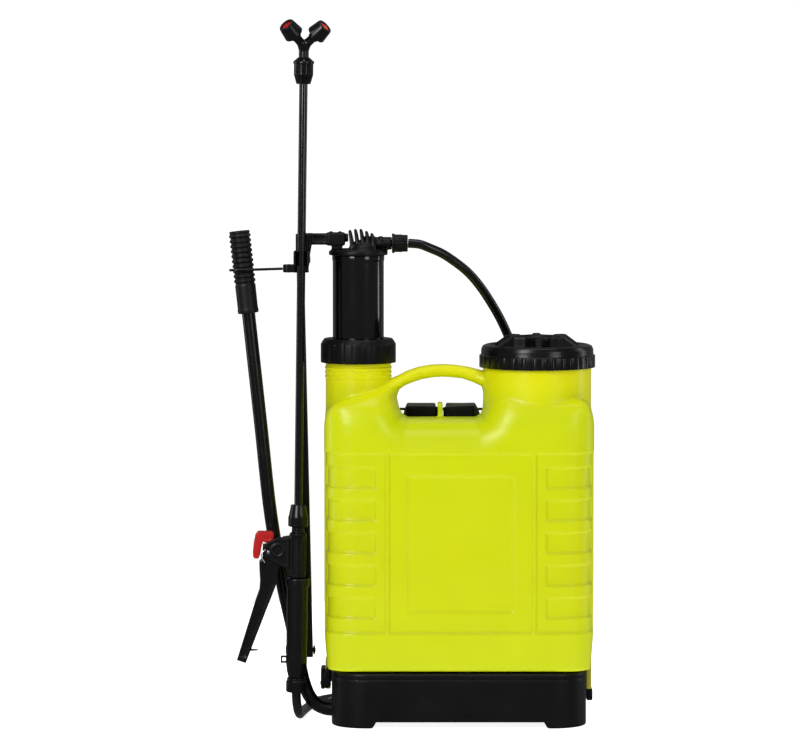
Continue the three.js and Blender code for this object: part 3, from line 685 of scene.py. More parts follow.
# ---- tank
TANK_FRONT = [
    (-157, 66.3), (157, 66.3), (162.8, 116), (162.8, 360), (161.2, 369), (157.6, 379), (153, 386), (146, 390),
    (136, 392.4), (119.5, 393.8), (97, 396.4), (80, 400.8), (65, 406.4), (51.6, 412.6), (38, 419),
    (22.5, 424.5), (9, 428), (-5, 430), (-19, 430.8), (-34, 430), (-48, 427.6), (-62, 423), (-78, 414.5),
    (-88, 409), (-99, 403.6), (-117, 397), (-139.5, 389.8), (-150.5, 384.6), (-157.6, 377), (-161, 368),
    (-162.8, 358), (-162.8, 116),
]
TANK_SHOULDER = [
    (76, 352), (74.6, 364), (71, 375), (65, 385), (56, 393.5), (46, 399.5), (36, 403.5), (28, 407),
    (22.5, 412), (19, 419), (18, 426), (18, 440),
]
TANK_BACK = [(76, 330), (73, 315), (69.5, 290), (67.5, 220), (69.5, 150), (73, 122), (76, 108), (76, 40)]
TANK_SIDE = [(-76, 40)] + [(-y, z) for y, z in TANK_SHOULDER] + TANK_SHOULDER[::-1] + TANK_BACK
HAND_HOLE = [
    (-61, 365), (20, 365), (26, 369), (29, 378), (29, 396), (26, 403), (16, 408), (4, 411.8), (-8, 413.2),
    (-20, 413.8), (-32, 413), (-44, 411), (-55, 407.4), (-63, 403.5), (-68.6, 398.5), (-70.8, 391),
    (-70.8, 379), (-67.8, 369.5),
]


def bevel(distance, width):
    """1 well inside, 0 outside, with a straight slope between, which leaves two crisp edges."""
    return np.clip(0.5 - distance / width, 0, 1)


def tank_field(x, y, z):
    """The tank from its plan, front and side outlines, with its panels, openings and necks."""
    plan = rectangle(x, y, (-162.8, -76), (162.8, 76), 45)
    body = both(both(polygon(x, z, TANK_FRONT), plan, 6), polygon(y, z, TANK_SIDE), 11)
    body = both(body, 66.3 - z, 5)

    front = ramp(y + 22, 2.0)
    back = ramp(58 - y, 6.0)
    panel = np.maximum(between(z, 114, 328), -between(x, -88, -83.2))
    panel = np.maximum(panel, -between(x, 86.7, 91.5))
    depth = 2.4 * front * bevel(panel, 2.4)
    depth = depth + 1.7 * front * bevel(rectangle(x, z, (-61.5, 139), (64.5, 301), 2), 4.0)
    for row in range(5):
        low = 132 + row * 38.8
        for sideways in (x + 100, 103.5 - x):
            window = np.maximum(np.maximum(between(z, low, low + 24), sideways), y + 30)
            depth = depth + 2.4 * bevel(window, 2.4)
    depth = depth + 1.6 * back * bevel(rectangle(x, z, (-120, 130), (120, 310), 12), 6)
    body = body + depth

    soft = 24 + 22 * ramp(z - 398, 26)
    body = less(body, polygon(x, z, HAND_HOLE), soft)
    body = less(body, block(x, y, z, (-67, 34, 359), (23, 100, 382), 3), 4)
    body = either(body, block(x, y, z, (-25, 30, 352), (-19, 61, 380.5), 1.5), 3)

    pump_neck = np.hypot(x - PUMP_X, y) - 39.2
    body = either(body, both(both(pump_neck, 370 - z), z - 436, 2), 2.5)
    filler_neck = np.hypot(x - FILLER_X, y) - 64.8
    body = either(body, both(both(filler_neck, 370 - z), z - 446, 2), 2.5)

    body = less(body, both(np.hypot(x - PUMP_X, y) - 36, 196 - z), 1)
    return less(body, both(np.hypot(x - FILLER_X, y) - 59, 368 - z), 1)


tank = surface_net("tank_shell", tank_field, (-166, -80, 62), (166, 80, 450), 1.5)
finished(tank, "tank_unit", YELLOW, "tank_plastic", "tank")


# ---- base, lugs and strap hooks
def base_field(x, y, z):
    """The base: a tray with a cut under it, an inner wall, bosses and the lever's bore."""
    body = both(rectangle(x, y, (-152.5, -74), (152.5, 74), 42), z - 65.8, 3)
    body = both(body, -z, 2.5)
    body = less(body, both(rectangle(x, y, (-148.5, -70), (148.5, 70), 38), z - 62, 5), 1.2)
    body = less(body, polygon(x, z, [(-109, -10), (111, -10), (101, 7.5), (-99, 7.5)]) + 0 * y, 2)
    body = either(body, block(x, y, z, (-114, -16, 1), (-108, 16, 64), 1.5), 2)
    for side in (-1, 1):
        body = either(body, both(np.hypot(x - side * 60, y) - 9, np.abs(z - 60) - 4, 1), 2)
    body = less(body, drum(x, y, z, "X", (-130, 0, 13), 10.3, 32, 0.5), 0.8)
    groove = ramp(np.abs(z - 58.5) - 0.7, 1.4) * 0.7
    return body + groove * ramp(-rectangle(x, y, (-150, -71.5), (150, 71.5), 39.5), 1.0)


base = surface_net("base_shell", base_field, (-156, -78, -3), (156, 78, 69), 1.5)
finished(base, "tank_unit", BLACK, "black_plastic", "base")


def lug_field(x, y, z):
    """The right lug; the left one is its mirror image."""
    plate = block(x, y, z, (154.3, 10, 36), (160.7, 40, 72), 1.6)
    return less(plate, block(x, y, z, (150, 18, 42), (165, 32, 47), 1.5), 1)


# The lugs take the darkened yellow, which is painted shade.
lug = surface_net("tank_lug_right", lug_field, (152, 8, 33), (163, 42, 74), 0.8)
finished(lug, "tank_unit", YELLOW_PAINTED_SHADE, "tank_plastic")
lug = surface_net("tank_lug_left", lambda x, y, z: lug_field(-x, y, z), (-163, 8, 33), (-152, 42, 74), 0.8)
finished(lug, "tank_unit", YELLOW_PAINTED_SHADE, "tank_plastic")


def hook_field(boxes, slots):
    """A strap hook: boxes joined in turn, with slots for the strap."""
    def field(x, y, z):
        body = None
        for low, high in boxes:
            part = block(x, y, z, low, high, 1.8)
            body = part if body is None else either(body, part, 2.5)
        for low, high in slots:
            body = less(body, block(x, y, z, low, high, 1), 0.8)
        return body
    return field


left_strap_hook = hook_field(
    [((-166.3, 12, 35.5), (-161, 44, 61)), ((-166.3, 40, 35.5), (-161, 86, 49)),
     ((-166.3, 79, 35.5), (-133, 86, 49))],
    [((-170, 20, 41), (-158, 34, 46))])


def left_hook_field(x, y, z):
    """The hook, with the drop-shaped front plate that covers the lug."""
    drop = rod(x, 0 * y, z, (-160.5, 0, 44), (-156.5, 0, 62), 6.5, 2.6)
    return either(left_strap_hook(x, y, z), both(drop, np.abs(y - 7.6) - 2.2, 2), 1.5)


left_hook = surface_net("strap_end_left", left_hook_field, (-170, 3, 33), (-130, 89, 68), 0.9)
finished(left_hook, "tank_unit", BLACK, "black_plastic", "strap_hook_left")
right_hook = surface_net(
    "strap_end_right",
    hook_field([((154.8, 12, 21.6), (162.2, 86, 35.6)), ((128, 79, 21.6), (162.2, 86, 35.6))],
               [((150, 20, 26), (166, 34, 31))]),
    (125, 9, 19), (165, 89, 38), 1.0)
finished(right_hook, "tank_unit", BLACK, "black_plastic", "strap_hook_right")


# ---- pump
PUMP = upright(PUMP_X, 0)

RING_PROFILE = [(38.6, 413.5)]
for at in (416, 421.2, 426.4):
    RING_PROFILE += [(39.35, at - 1.5), (40.2, at - 0.7), (40.2, at + 0.7), (39.35, at + 1.5)]
RING_PROFILE += [(38.6, 429.5)]
neck_rings = turned("pump_neck_rings", rounded(RING_PROFILE, 0.5), PUMP, 144, crease=1.2)
finished(neck_rings, "tank_unit", YELLOW, "tank_plastic")

nut = turned(
    "pump_nut_ribbed",
    rounded([(40.6, 432.7), (45.1, 432.7), (45.1, 455), (41, 461.4), (31.2, 461.4), (31.2, 446), (40.6, 446)],
            {1: 0.8, 2: 2.0, 3: 1.6, 4: 0.8}),
    PUMP, 288, ribs(24, 0.9, 434, 455.5, 0.16))
finished(nut, "tank_unit", BLACK, "black_plastic", "pump_nut")

chamber = turned(
    "air_chamber_tube",
    rounded([(27.6, 330), (30.65, 330), (30.65, 554), (31.3, 556), (31.3, 561), (27.6, 561)],
            {1: 1, 2: 1, 3: 1, 4: 0.6}),
    PUMP, 96)
finished(chamber, "air_chamber_unit", GLOSS, "black_tube", "air_chamber")

FIN_TOPS = [(-10.2, 591.4), (-3.6, 592.6), (3.0, 592.6), (9.6, 590.2), (16.0, 587.6)]


def chamber_cap_field(x, y, z):
    """The cap from the pump's own axis: disc, dome, bent fins and the outlet toward +X."""
    r = np.hypot(x, y)
    disc = both(r - 35.2, np.abs(z - 563.95) - 2.6, 1.2)
    lip = both(np.abs(r - 31.5) - 1.6, np.abs(z - 567.2) - 1.2, 1)
    dome = both(np.sqrt((x - 5.5) ** 2 + (y * 0.9) ** 2 + ((z - 565) * 1.25) ** 2) - 18, 564 - z, 1)
    body = either(either(disc, lip, 1.2), dome, 4)
    plug = both(r - 27.2, np.abs(z - 557.5) - 5, 1)
    body = either(body, plug, 0.5)
    for at, top in FIN_TOPS:
        bend = at + 3.0 * (1 - np.clip((z - 569) / (top - 569), 0, 1) ** 1.5)
        side = np.sqrt(y ** 2 + (np.maximum(z - 566, 0) * 13 / (top - 566)) ** 2) - 13
        thick = 2.6 - 0.7 * np.clip((z - 577) / (top - 577), 0, 1)
        fin = both(both(np.abs(x - bend) - thick, side, 1.8), 564 - z, 0.5)
        body = either(body, fin, 1.4)
    outlet = drum(x, y, z, "X", (22.5, 0, OUTLET_Z), 7.6, 17.3, 0.8)
    step = drum(x, y, z, "X", (27, 0, OUTLET_Z), 8.6, 2.2, 1)
    body = either(body, either(outlet, step, 1), 2.5)
    body = either(body, drum(x, y, z, "X", (38.5, 0, OUTLET_Z), 7.0, 1.6, 0.4), 0.6)
    return either(body, drum(x, y, z, "X", (46, 0, OUTLET_Z), 4, 8, 0.6), 0.4)


cap_top = surface_net("chamber_cap_finned", chamber_cap_field, (-38, -38, 551), (57, 38, 596), 0.9, PUMP,
                      crease=1.1)
finished(cap_top, "air_chamber_unit", BLACK, "black_plastic", "chamber_cap")

outlet_nut = turned(
    "outlet_nut_ribbed",
    rounded([(4.4, 40.3), (11.8, 40.3), (11.8, 43.0), (10.6, 43.8), (10.6, 52), (10.1, 53), (10.1, 59.3),
             (6.2, 59.3), (5.8, 58), (4.4, 57)], {1: 0.7, 2: 0.7, 4: 0.5, 6: 1.0}),
    along_x(PUMP_X, 0, OUTLET_Z), 144, ribs(16, 0.8, 45, 58.5, 0.3))
finished(outlet_nut, "air_chamber_unit", BLACK, "black_plastic", "outlet_nut")


def arm_field(x, y, z):
    """The rail on the chamber's cap, and the plate that carries the rod's pin and the wand clip."""
    rail = block(x, y, z, (-184.6, -7, 573.7), (-150, 7, 587.2), 1.6)
    rail = rail + 1.2 * ramp(rectangle(x, z, (-174, 577.4), (-161, 583.6), 1), 1.6)
    body = either(rail, block(x, y, z, (-158.7, -8.5, 572.7), (-136.2, 8.5, 588.4), 2.6), 1.6)
    for at in (-153.2, -142.4):
        body = either(body, rod(x, y, z, (at, -2, 587), (at, 2, 587), 2.8), 1)
    body = either(body, block(x, y, z, (-152.5, -8, 567.4), (-139.5, 8, 575), 1.5), 1.5)
    body = either(body, drum(x, y, z, "X", (-135.5, 0, 582), 5, 3, 1), 1)
    ear = polygon(x, z, [(-184.6, 541), (-180.8, 541), (-180.8, 547), (-176.2, 574), (-176.2, 587.2),
                         (-184.6, 587.2)])
    body = either(body, both(ear, between(y, -14, 8), 2), 1)
    plate = polygon(x, z, [(-197.5, 541), (-179.6, 541), (-179.6, 587.2), (-195.2, 587.2), (-195.2, 560)])
    body = either(body, both(plate, between(y, -20, -9), 2.4), 1)
    for at in (-197.5, -181.6):
        body = either(body, block(x, y, z, (at, -34, 549), (at + 2.6, -10, 567), 1.1), 1)
    holder = either(drum(x, y, z, "Z", (-205.4, -16, 546.0), 5, 4.8, 1.2),
                    block(x, y, z, (-205.4, -21, 541.3), (-195, -11, 550.8), 1.2), 0.8)
    body = either(body, holder, 1)
    return less(body, drum(x, y, z, "X", (-184, 0, 556), 3.3, 14, 0.3), 0.5)


arm = surface_net("pump_arm_moulded", arm_field, (-213, -37, 538), (-131, 11, 593), 0.9, crease=1.1)
finished(arm, "air_chamber_unit", BLACK, "black_plastic", "pump_arm")

hook_path, _ = smooth_path(
    [(-210.6, -16, 545.6), (-230, -16, 545), (-255, -16, 544.2), (-268, -15.5, 543.9), (-273, -12.5, 543.6),
     (-274, -7, 543.2)], 60)
lever_hook = swept("lever_hook_wire", hook_path, circle(1.6, 14),
                   shape=lambda s, t: s * (1 - 0.55 * max(0, t - 0.94) / 0.06))
finished(lever_hook, "hook", SATIN, "black_tube", "lever_hook")


# ---- lever and rod
LEVER_ROUTE = [
    (-99, 0, 13), (-140, 0, 13), (-152, 0, 13), (-158, 0, 13.4), (-169.5, 0, 17.8), (-179.5, 0, 28.5),
    (-186.6, 0, 46), (-191.5, 0, 68), (-199.6, 0, 109), (-211.6, 0, 163.6), (-226, 0, 248.5),
    (-238, 0, 359.5), (-250.8, 0, 477.8), (-255.1, 0, 517.5),
]
lever_path, _ = smooth_path(LEVER_ROUTE, 150)
lever = swept("lever_tube_bent", lever_path, circle(8, 32))
finished(lever, "lever", SATIN, "black_tube", "lever_tube")

GRIP_FOOT = (-252.35, 0, 491.6)
GRIP_LEAN = -math.degrees(math.atan2(24.8, 229.3))
GRIP_SCALE = (0.99, 0.92, 0.975)
grip_profile = [(8.3, 0.4), (8.3, 0), (12.0, 0), (12.7, 1.2), (12.7, 5), (12.3, 6.2), (12.45, 34)]
for rib in range(10):
    z = 36.6 + rib * 6.15
    grip_profile += [(11.5, z), (11.5, z + 1.2), (13.05, z + 2.4), (13.05, z + 4.6)]
grip_profile += [(11.6, 98.2), (12.4, 99.4), (12.4, 101.5), (4.5, 101.8), (4.0, 99), (0, 99), (0, 40),
                 (8.3, 40)]
grip_corners = {i: 0.9 for i in range(2, len(grip_profile) - 5)}
grip = turned("lever_grip_ribbed", rounded(grip_profile, grip_corners, 3),
              lambda p: turn(p * GRIP_SCALE, "Y", GRIP_LEAN) + GRIP_FOOT, 64)
finished(grip, "lever", RUBBER, "rubber", "lever_grip")


def bolt(name, body, node, x, y, z, head, across, shank, end):
    """A hexagon bolt along X: head from x to x + head, then a shank to `end`."""
    r = across / 2 * 1.155
    profile = [(0, 0), (r * 0.8, 0), (r, head * 0.28), (r, head), (shank, head), (shank, end - x - 0.6),
               (shank - 0.6, end - x), (0, end - x)]
    made = turned(name, profile, along_x(x, y, z), 72, hexagon(across, r * 0.86), crease=0.35)
    finished(made, body, BLACKENED, "steel", node)


bolt("crank_bolt_hex", "lever", "crank_bolt", -208.4, 0, 85, 3.8, 9.6, 3, -172.2)
crank_nut = turned("crank_nut_hex", [(2.9, 0), (5, 0), (5.6, 0.5), (5.6, 1.6), (5, 2.2), (2.9, 2.2)],
                   along_x(-175, 0, 85), 72, hexagon(9.7, 4.9), crease=0.35)
finished(crank_nut, "lever", BLACKENED, "steel", "crank_nut")
arm_pin = turned(
    "arm_pin_headed",
    rounded([(0, -184.9), (3, -184.9), (3, -179.4), (4.6, -179.4), (4.6, -178.2), (0, -177.8)],
            {1: 0.4, 4: 0.5}),
    along_x(0, 0, 556), 48)
finished(arm_pin, "air_chamber_unit", BLACKENED, "steel", "arm_pin")

ROD_FOOT = (-180, 0, 85)
ROD_LEAN = -1.24
ROD_LENGTH = 471.2


def rod_field(x, y, z):
    """The rod upright, with its lower hole at the origin."""
    half = 7 + 2 * ramp(z - 12, 30) + 1 * ramp(ROD_LENGTH - 14 - z, 30)
    ends = np.hypot(y, z - np.clip(z, 0, ROD_LENGTH)) - half
    body = both(ends, np.abs(x) - 4.5, 1.6)
    channel = rectangle(y, z, (-4.2, 22), (4.2, ROD_LENGTH - 22), 2)
    body = body + 1.1 * ramp(channel, 1.6)
    for at in (0, ROD_LENGTH):
        body = less(body, drum(x, y, z, "X", (0, 0, at), 3.4, 9, 0.2), 0.6)
    return body


link = surface_net("link_rod_moulded", rod_field, (-6.5, -11, -12), (6.5, 11, 482), 1.0,
                   lambda p: turn(p, "Y", ROD_LEAN) + ROD_FOOT, settle=2)
finished(link, "link", SATIN, "black_tube", "link_rod")
rod_bolt_at = turn([(0, 0, ROD_LENGTH)], "Y", ROD_LEAN)[0] + ROD_FOOT
bolt("rod_top_bolt_hex", "link", "rod_top_bolt", rod_bolt_at[0] - 8, 0, rod_bolt_at[2], 3.2, 9.4, 3,
     rod_bolt_at[0] + 4.2)


# ---- wand
WAND_FOOT = np.array([-195.1, -28, 46])
WAND_LEAN = 0.777


def on_wand(p):
    """From the wand's own frame, whose Z runs up its axis."""
    return turn(p, "Y", WAND_LEAN) + WAND_FOOT


hose_nut = turned(
    "hose_nut_ribbed",
    rounded([(6.0, -8.1), (10.8, -8.1), (12.3, -6.8), (12.3, 4.8), (11.2, 6), (11.2, 9.2), (6.9, 9.2)],
            {1: 0.8, 2: 0.8, 3: 0.6, 4: 0.4, 5: 0.5}),
    on_wand, 160, ribs(18, 0.9, -6, 4.6, 0.4))
finished(hose_nut, "wand", BLACK, "black_plastic", "hose_nut")

handle = turned(
    "handle_fluted",
    rounded([(6.9, 9.6), (9.6, 9.6), (11.6, 18), (12.6, 27), (12.6, 117), (14.4, 121), (14.4, 129.3),
             (6.9, 129.3)], {1: 0.8, 2: 4, 3: 8, 4: 2, 5: 1, 6: 1.2}),
    on_wand, 168, ribs(12, 1.2, 28, 115, 0.3))
finished(handle, "wand", SATIN, "black_plastic", "handle_shell")
loop = surface_net(
    "catch_loop",
    lambda x, y, z: less(block(x, y, z, (-19, -3.5, 27), (-10.5, 3.5, 35.5), 1.0),
                         block(x, y, z, (-17.2, -6, 28.8), (-12.8, 6, 33.7), 0.8), 0.5),
    (-20.5, -5, 25.5), (-9, 5, 37), 0.5, on_wand)
finished(loop, "wand", BLACK, "black_plastic")


PIVOT_X, PIVOT_Z = -35.1, 161


def pivot_hole(x, z):
    """The bore for the trigger's pin."""
    return np.hypot(x - PIVOT_X, z - PIVOT_Z) - 2.3


def valve_field(x, y, z):
    """The valve in the handle, with its barrel, and the cheeks that hold the trigger."""
    r = np.hypot(x, y)
    core = both(r - 6.5, between(z, -6, 131), 0.5)
    barrel = both(r - 9.2, between(z, 129.7, 184.4), 1.2)
    for angle in (-60, -120, 0, 180):
        a = math.radians(angle)
        at = (9.1 * math.cos(a), 9.1 * math.sin(a))
        barrel = either(barrel, rod(x, y, z, (*at, 137), (*at, 180), 1.2), 0.8)
    body = either(core, barrel, 1)
    body = either(body, both(r - 7.6, between(z, 183, 191.2), 0.8), 1)
    ring = both(r - 10.2, between(z, 180, 183.5), 0.8)
    body = either(body, ring, 0.6)
    wedge = polygon(x, z, [(-18.5, 160), (-14.6, 146), (-14.6, 140), (-12.4, 131), (-5, 129.6), (-5, 181),
                           (-18.5, 179)])
    body = either(body, both(wedge, np.abs(y) - 7.4, 2.0), 1.6)
    cheek = polygon(x, z, [(-40, 156.5), (-33, 151), (-27, 147.5), (-19, 144), (-10, 142.5), (-10, 177),
                           (-26, 177.8), (-34, 174), (-39, 169), (-41, 163)])
    cheeks = both(cheek, np.abs(np.abs(y) - 8.7) - 1.2, 0.9)
    body = either(body, cheeks, 0.8)
    rim = both(np.abs(cheek + 1.4) - 0.9, np.abs(np.abs(y) - 9.6) - 0.7, 0.5)
    body = either(body, rim, 0.5)
    boss_disc = np.hypot(x + 24, z - 163)
    boss = both(np.abs(boss_disc - 7.2) - 1.3, np.abs(np.abs(y) - 9.5) - 1.0, 0.6)
    body = either(body, boss, 0.6)
    body = less(body, both(np.abs(y) - 7.4, x + 18.5, 0.3), 0.4)
    bore = both(r - 4.5, 0 * z - 1)
    return less(less(body, pivot_hole(x, z), 0.4), bore, 0.3)


valve = surface_net("valve_body_moulded", valve_field, (-44, -13, -8), (14, 13, 194), 0.9, on_wand, settle=2,
                    crease=1.1)
finished(valve, "wand", BLACK, "black_plastic", "valve_body")

trigger_pin = turned("trigger_pin_steel", rounded([(0, -10.6), (2, -10.6), (2, 10.6), (0, 10.6)], 0.5),
                     lambda p: on_wand(p[:, [0, 2, 1]] * [1, -1, 1] + [PIVOT_X, 0, PIVOT_Z]), 32)
finished(trigger_pin, "wand", STEEL, "steel", "trigger_pin")

TRIGGER = [
    (-42, 170), (-42, 153), (-46, 149.5), (-45.6, 139), (-44.7, 127), (-45.3, 116.4), (-50.2, 101.9),
    (-71.5, 30), (-60.7, 26.4), (-25.7, 120.6), (-22.9, 139), (-26.4, 170),
]


def trigger_field(x, y, z):
    """The trigger, with recessed sides and a peg, in the wand's frame."""
    side = polygon(x, z, TRIGGER)
    body = both(side, np.abs(y) - 7, 1.8)
    recess = 1.3 * ramp(side + 2.6, 1.4) * ramp(z - 146, 3) * ramp(34 - z, 3)
    body = body + recess
    peg = rod(x, y, z, (-57.5, 0, 42), (-46.5, 0, 42), 1.4, 0.9)
    body = either(body, peg, 0.6)
    return less(body, pivot_hole(x, z), 0.3)


trigger = surface_net("trigger_moulded", trigger_field, (-75, -9, 23), (-19, 9, 173), 0.9, on_wand,
                      crease=1.1)
finished(trigger, "trigger", SATIN, "black_plastic", "trigger")

LOCK = [
    (-53.8, 161), (-53.4, 155), (-51.6, 152.6), (-47.2, 152.6), (-45.0, 157), (-43.4, 168), (-41.6, 173.2),
    (-38.4, 171.6), (-31.4, 171.2), (-28.8, 174.8), (-28.9, 182.6), (-31, 185.6), (-48, 185.4), (-51, 181.6),
    (-52.8, 172),
]


def lock_field(x, y, z):
    """The trigger's lock, in the wand's frame."""
    side = polygon(x, z, LOCK)
    body = both(side, np.abs(y) - 7, 2.4)
    return body + 0.5 * ramp(rectangle(x, z, (-41, 175.5), (-32.5, 182.5), 1.5), 1.2)


lock = surface_net("trigger_lock_red", lock_field, (-57, -9, 149), (-26, 9, 189), 0.7, on_wand, crease=1.1)
finished(lock, "trigger_lock", RED, "red_plastic", "trigger_lock")

spring_path, _ = smooth_path(
    [(-38.5, -9.6, 164), (-42.6, -9.6, 160), (-42.8, -9.6, 155), (-39.4, -9.6, 148.5)], 24)
spring = swept("trigger_spring_wire", on_wand(spring_path), circle(0.7, 10))
finished(spring, "wand", STEEL, "steel")

lance_nut = turned(
    "lance_nut_ribbed",
    rounded([(5.3, 191.7), (11.6, 191.7), (12, 193), (12, 203), (11.2, 204.5), (8.9, 217.5), (5.3, 217.5)],
            {1: 0.6, 2: 0.4, 3: 0.8, 4: 0.6, 5: 0.6}),
    on_wand, 144, ribs(16, 1.0, 193.4, 202.8, 0.35))
finished(lance_nut, "wand", SATIN, "black_plastic", "lance_nut")
lance = turned("lance_glossy", [(3.4, 192), (5, 192), (5, 300), (5, 450), (5, 600), (5, 732), (3.4, 732)],
               on_wand, 40)
finished(lance, "wand", GLOSS, "black_tube", "lance_tube")
head_nut = turned(
    "head_nut_ribbed",
    rounded([(5.3, 719.9), (8.4, 719.9), (11.5, 731), (11.5, 743.5), (12.5, 744.5), (12.5, 746.5),
             (6.4, 751.9), (6.4, 735), (5.3, 735)], {1: 0.6, 2: 0.8, 3: 0.3, 4: 0.4, 5: 0.6, 6: 0.3}),
    on_wand, 144, ribs(14, 1.1, 730, 743.4, 0.3))
finished(head_nut, "wand", SATIN, "black_plastic", "head_nut")

JUNCTION = 764.5
BRANCHES = (("left", -37.9, RED, "red_plastic"), ("right", 40.5, ORANGE, "orange_plastic"))
HEAD_TURN = 6
HEAD_TILT = 29


def on_head(p):
    """From the head's own frame, whose origin is where the branches meet."""
    return on_wand(turn(p, "Z", HEAD_TURN) + [0, 0, JUNCTION])


def head_field(x, y, z):
    """The fork: a stem, a ball and two branches with collars."""
    body = both(np.hypot(x, y) - 6, between(z, -28.5, 2), 0.8)
    body = either(body, np.sqrt(x * x + y * y + z * z) - 6.6, 2)
    for _, lean, _, _ in BRANCHES:
        axis = turn(turn([(0, 0, 1)], "Y", lean), "X", HEAD_TILT)[0]
        along = x * axis[0] + y * axis[1] + z * axis[2]
        limb = both(rod(x, y, z, (0, 0, 0), 27 * axis, 5.2), along - 27, 0.5)
        body = either(body, limb, 2.5)
        collar = both(rod(x, y, z, 12 * axis, 20 * axis, 6.4), np.abs(along - 16.6) - 1.8, 0.8)
        body = either(body, collar, 0.8)
    return body


y_head = surface_net("fork_head", head_field, (-25, -23, -31), (26, 9, 29), 0.7, on_head, crease=1.1)
finished(y_head, "spray_head", SATIN, "black_plastic", "y_head")

for side, lean, look, slot_name in BRANCHES:
    def on_branch(p, lean=lean):
        return on_head(turn(turn(p, "Y", lean), "X", HEAD_TILT))
    nozzle = turned(
        f"nozzle_cap_{side}_ribbed",
        rounded([(5.3, 19.5), (11, 19.5), (12, 21), (9.9, 35.4), (9.2, 37), (6.4, 37), (6.4, 32.5),
                 (1.2, 32.5), (1.2, 29), (5.3, 29)], {1: 0.5, 2: 0.8, 3: 0.6, 4: 0.5, 5: 0.3}),
        on_branch, 144, ribs(14, 1.2, 21.5, 34.8, 0.3))
    finished(nozzle, f"nozzle_{side}", SATIN, "black_plastic", f"nozzle_cap_{side}")
    disc = turned(
        f"nozzle_disc_{side}_turned",
        rounded([(0.8, 32.8), (6.1, 32.8), (6.1, 35.6), (4.6, 35.8), (4.2, 34.6), (2.2, 34.4), (1.8, 35.2),
                 (0.8, 34.4)], {2: 0.3, 3: 0.3, 4: 0.3, 5: 0.3, 6: 0.3}),
        on_branch, 48)
    finished(disc, f"nozzle_{side}", look, slot_name, f"nozzle_disc_{side}")


# ---- filler cap
FILLER = upright(FILLER_X, 0)
cap_skirt = turned(
    "filler_cap_skirt",
    rounded([(66.2, 427), (69.5, 427), (69.5, 441.4), (67.5, 442.4), (67.3, 448.6), (65.6, 452.6),
             (61, 454.6), (57, 452.2), (55, 451.6), (0, 451.6), (0, 450.6), (66.2, 450.6)],
            {1: 0.6, 2: 0.5, 3: 0.4, 4: 2.2, 5: 2.2, 6: 2.2, 7: 1.2}),
    FILLER, 432, ribs(36, 2.4, 428, 441.2, 0.3))
finished(cap_skirt, "filler_cap", SATIN, "black_plastic", "filler_cap")


def grip_star_field(x, y, z):
    """The cap's six-lobed grip with its dish and fins, from the cap's own axis."""
    angle = np.arctan2(y, x) + math.radians(30)
    r = np.hypot(x, y)
    lobe = 33.2 + 3.6 * np.cos(6 * angle)
    star = both((r - lobe) * 0.93, between(z, 449.5, 464.2), 2.2)
    body = less(star, both(r - 24, 461.8 - z, 2), 1.6)
    for i in range(6):
        a = math.radians(60 * i - 30)
        u = x * math.cos(a) + y * math.sin(a)
        v = -x * math.sin(a) + y * math.cos(a)
        fin = polygon(u, z, [(26, 449.5), (56, 449.5), (56, 454), (38, 465.5), (26, 465.5)])
        wide = 4.6 - 1.2 * np.clip((u - 38) / 18, 0, 1)
        body = either(body, both(fin, np.abs(v) - wide, 1.4), 1.2)
    return body


cap_grip = surface_net("filler_cap_grip", grip_star_field, (-59, -59, 448), (59, 59, 468), 1.0, FILLER,
                       crease=1.1)
finished(cap_grip, "filler_cap", BLACK, "black_plastic")


# ---- harness
BAR_Y, BAR_Z = 46, 371.5
bar = turned("strap_bar_rod", rounded([(0, -78), (1.6, -78), (1.6, 31), (0, 31)], 0.5),
             along_x(0, BAR_Y, BAR_Z + 1), 32)
finished(bar, "tank_unit", SATIN, "steel", "strap_bar")

LOOP_Z = 367.6
WRAP_RADIUS = 5.4


def loop_field(low, high, slope):
    """A strap's sewn loop round the bar, seen in the hand hole."""
    def field(x, y, z):
        above = z - slope * (x - (low + high) / 2) - LOOP_Z
        loop = both(both(between(x, low, high), np.abs(above) - 7.9, 1.2), np.abs(y - BAR_Y) - 7.6, 4)
        layers = 0.5 * ramp(np.abs(np.abs(above) - 4.2) - 0.2, 0.8) * ramp(0.8 - np.abs(y - BAR_Y + 7.6), 0.5)
        return loop + layers * ramp(x - low - 1.0, 0.5)
    return field


for side, low, high, slope in (("left", -63.2, -24.9, -0.012), ("right", -18.2, 19.6, 0.045)):
    loop = surface_net(f"strap_loop_{side}", loop_field(low, high, slope), (low - 3, BAR_Y - 11, 358),
                       (high + 3, BAR_Y + 11, 381), 0.8)
    finished(loop, "tank_unit", LOOP_CLOTH, "webbing")

# By side: the strap's X on the bar, its web, pad and lower strap, and the buckle's place and lean.
HARNESS = (
    ("left", -44, [(-45, 66, 377), (-49, 84, 364), (-53, 93, 340)],
     [(-53, 95.5, 340), (-54.5, 97, 334), (-62, 104, 285), (-72, 108, 230), (-84, 109, 175), (-85, 109, 170)],
     [(-84.0, 109, 178), (-94, 107, 140), (-112, 102, 105), (-134, 97, 78), (-146, 87, 56), (-147, 84.5, 47)],
     (-96, 106, 134), -19),
    ("right", 1, [(3, 66, 377), (9, 84, 364), (16, 93, 340)],
     [(16, 95.5, 340), (16.8, 97, 334), (28, 104, 285), (42, 109, 230), (58, 112, 175), (59.4, 112, 170)],
     [(57.2, 112, 178), (72, 113, 140), (94, 112, 105), (130, 103, 70), (143, 88, 43), (145, 84, 33)],
     (75, 113, 134), 26),
)


def pad_shape(section, share):
    """Narrows the cushion toward its ends and pinches it at the seams across it."""
    ends = min(1.0, 0.32 + 3.4 * math.sqrt(max(0.0, min(share, 1 - share)) * 1.2))
    channels = 1 - 0.16 * max(0.0, math.cos(share * 2 * math.pi * 7)) ** 10
    return section * np.array([min(1.0, 0.62 + ends * 0.38), ends * channels])


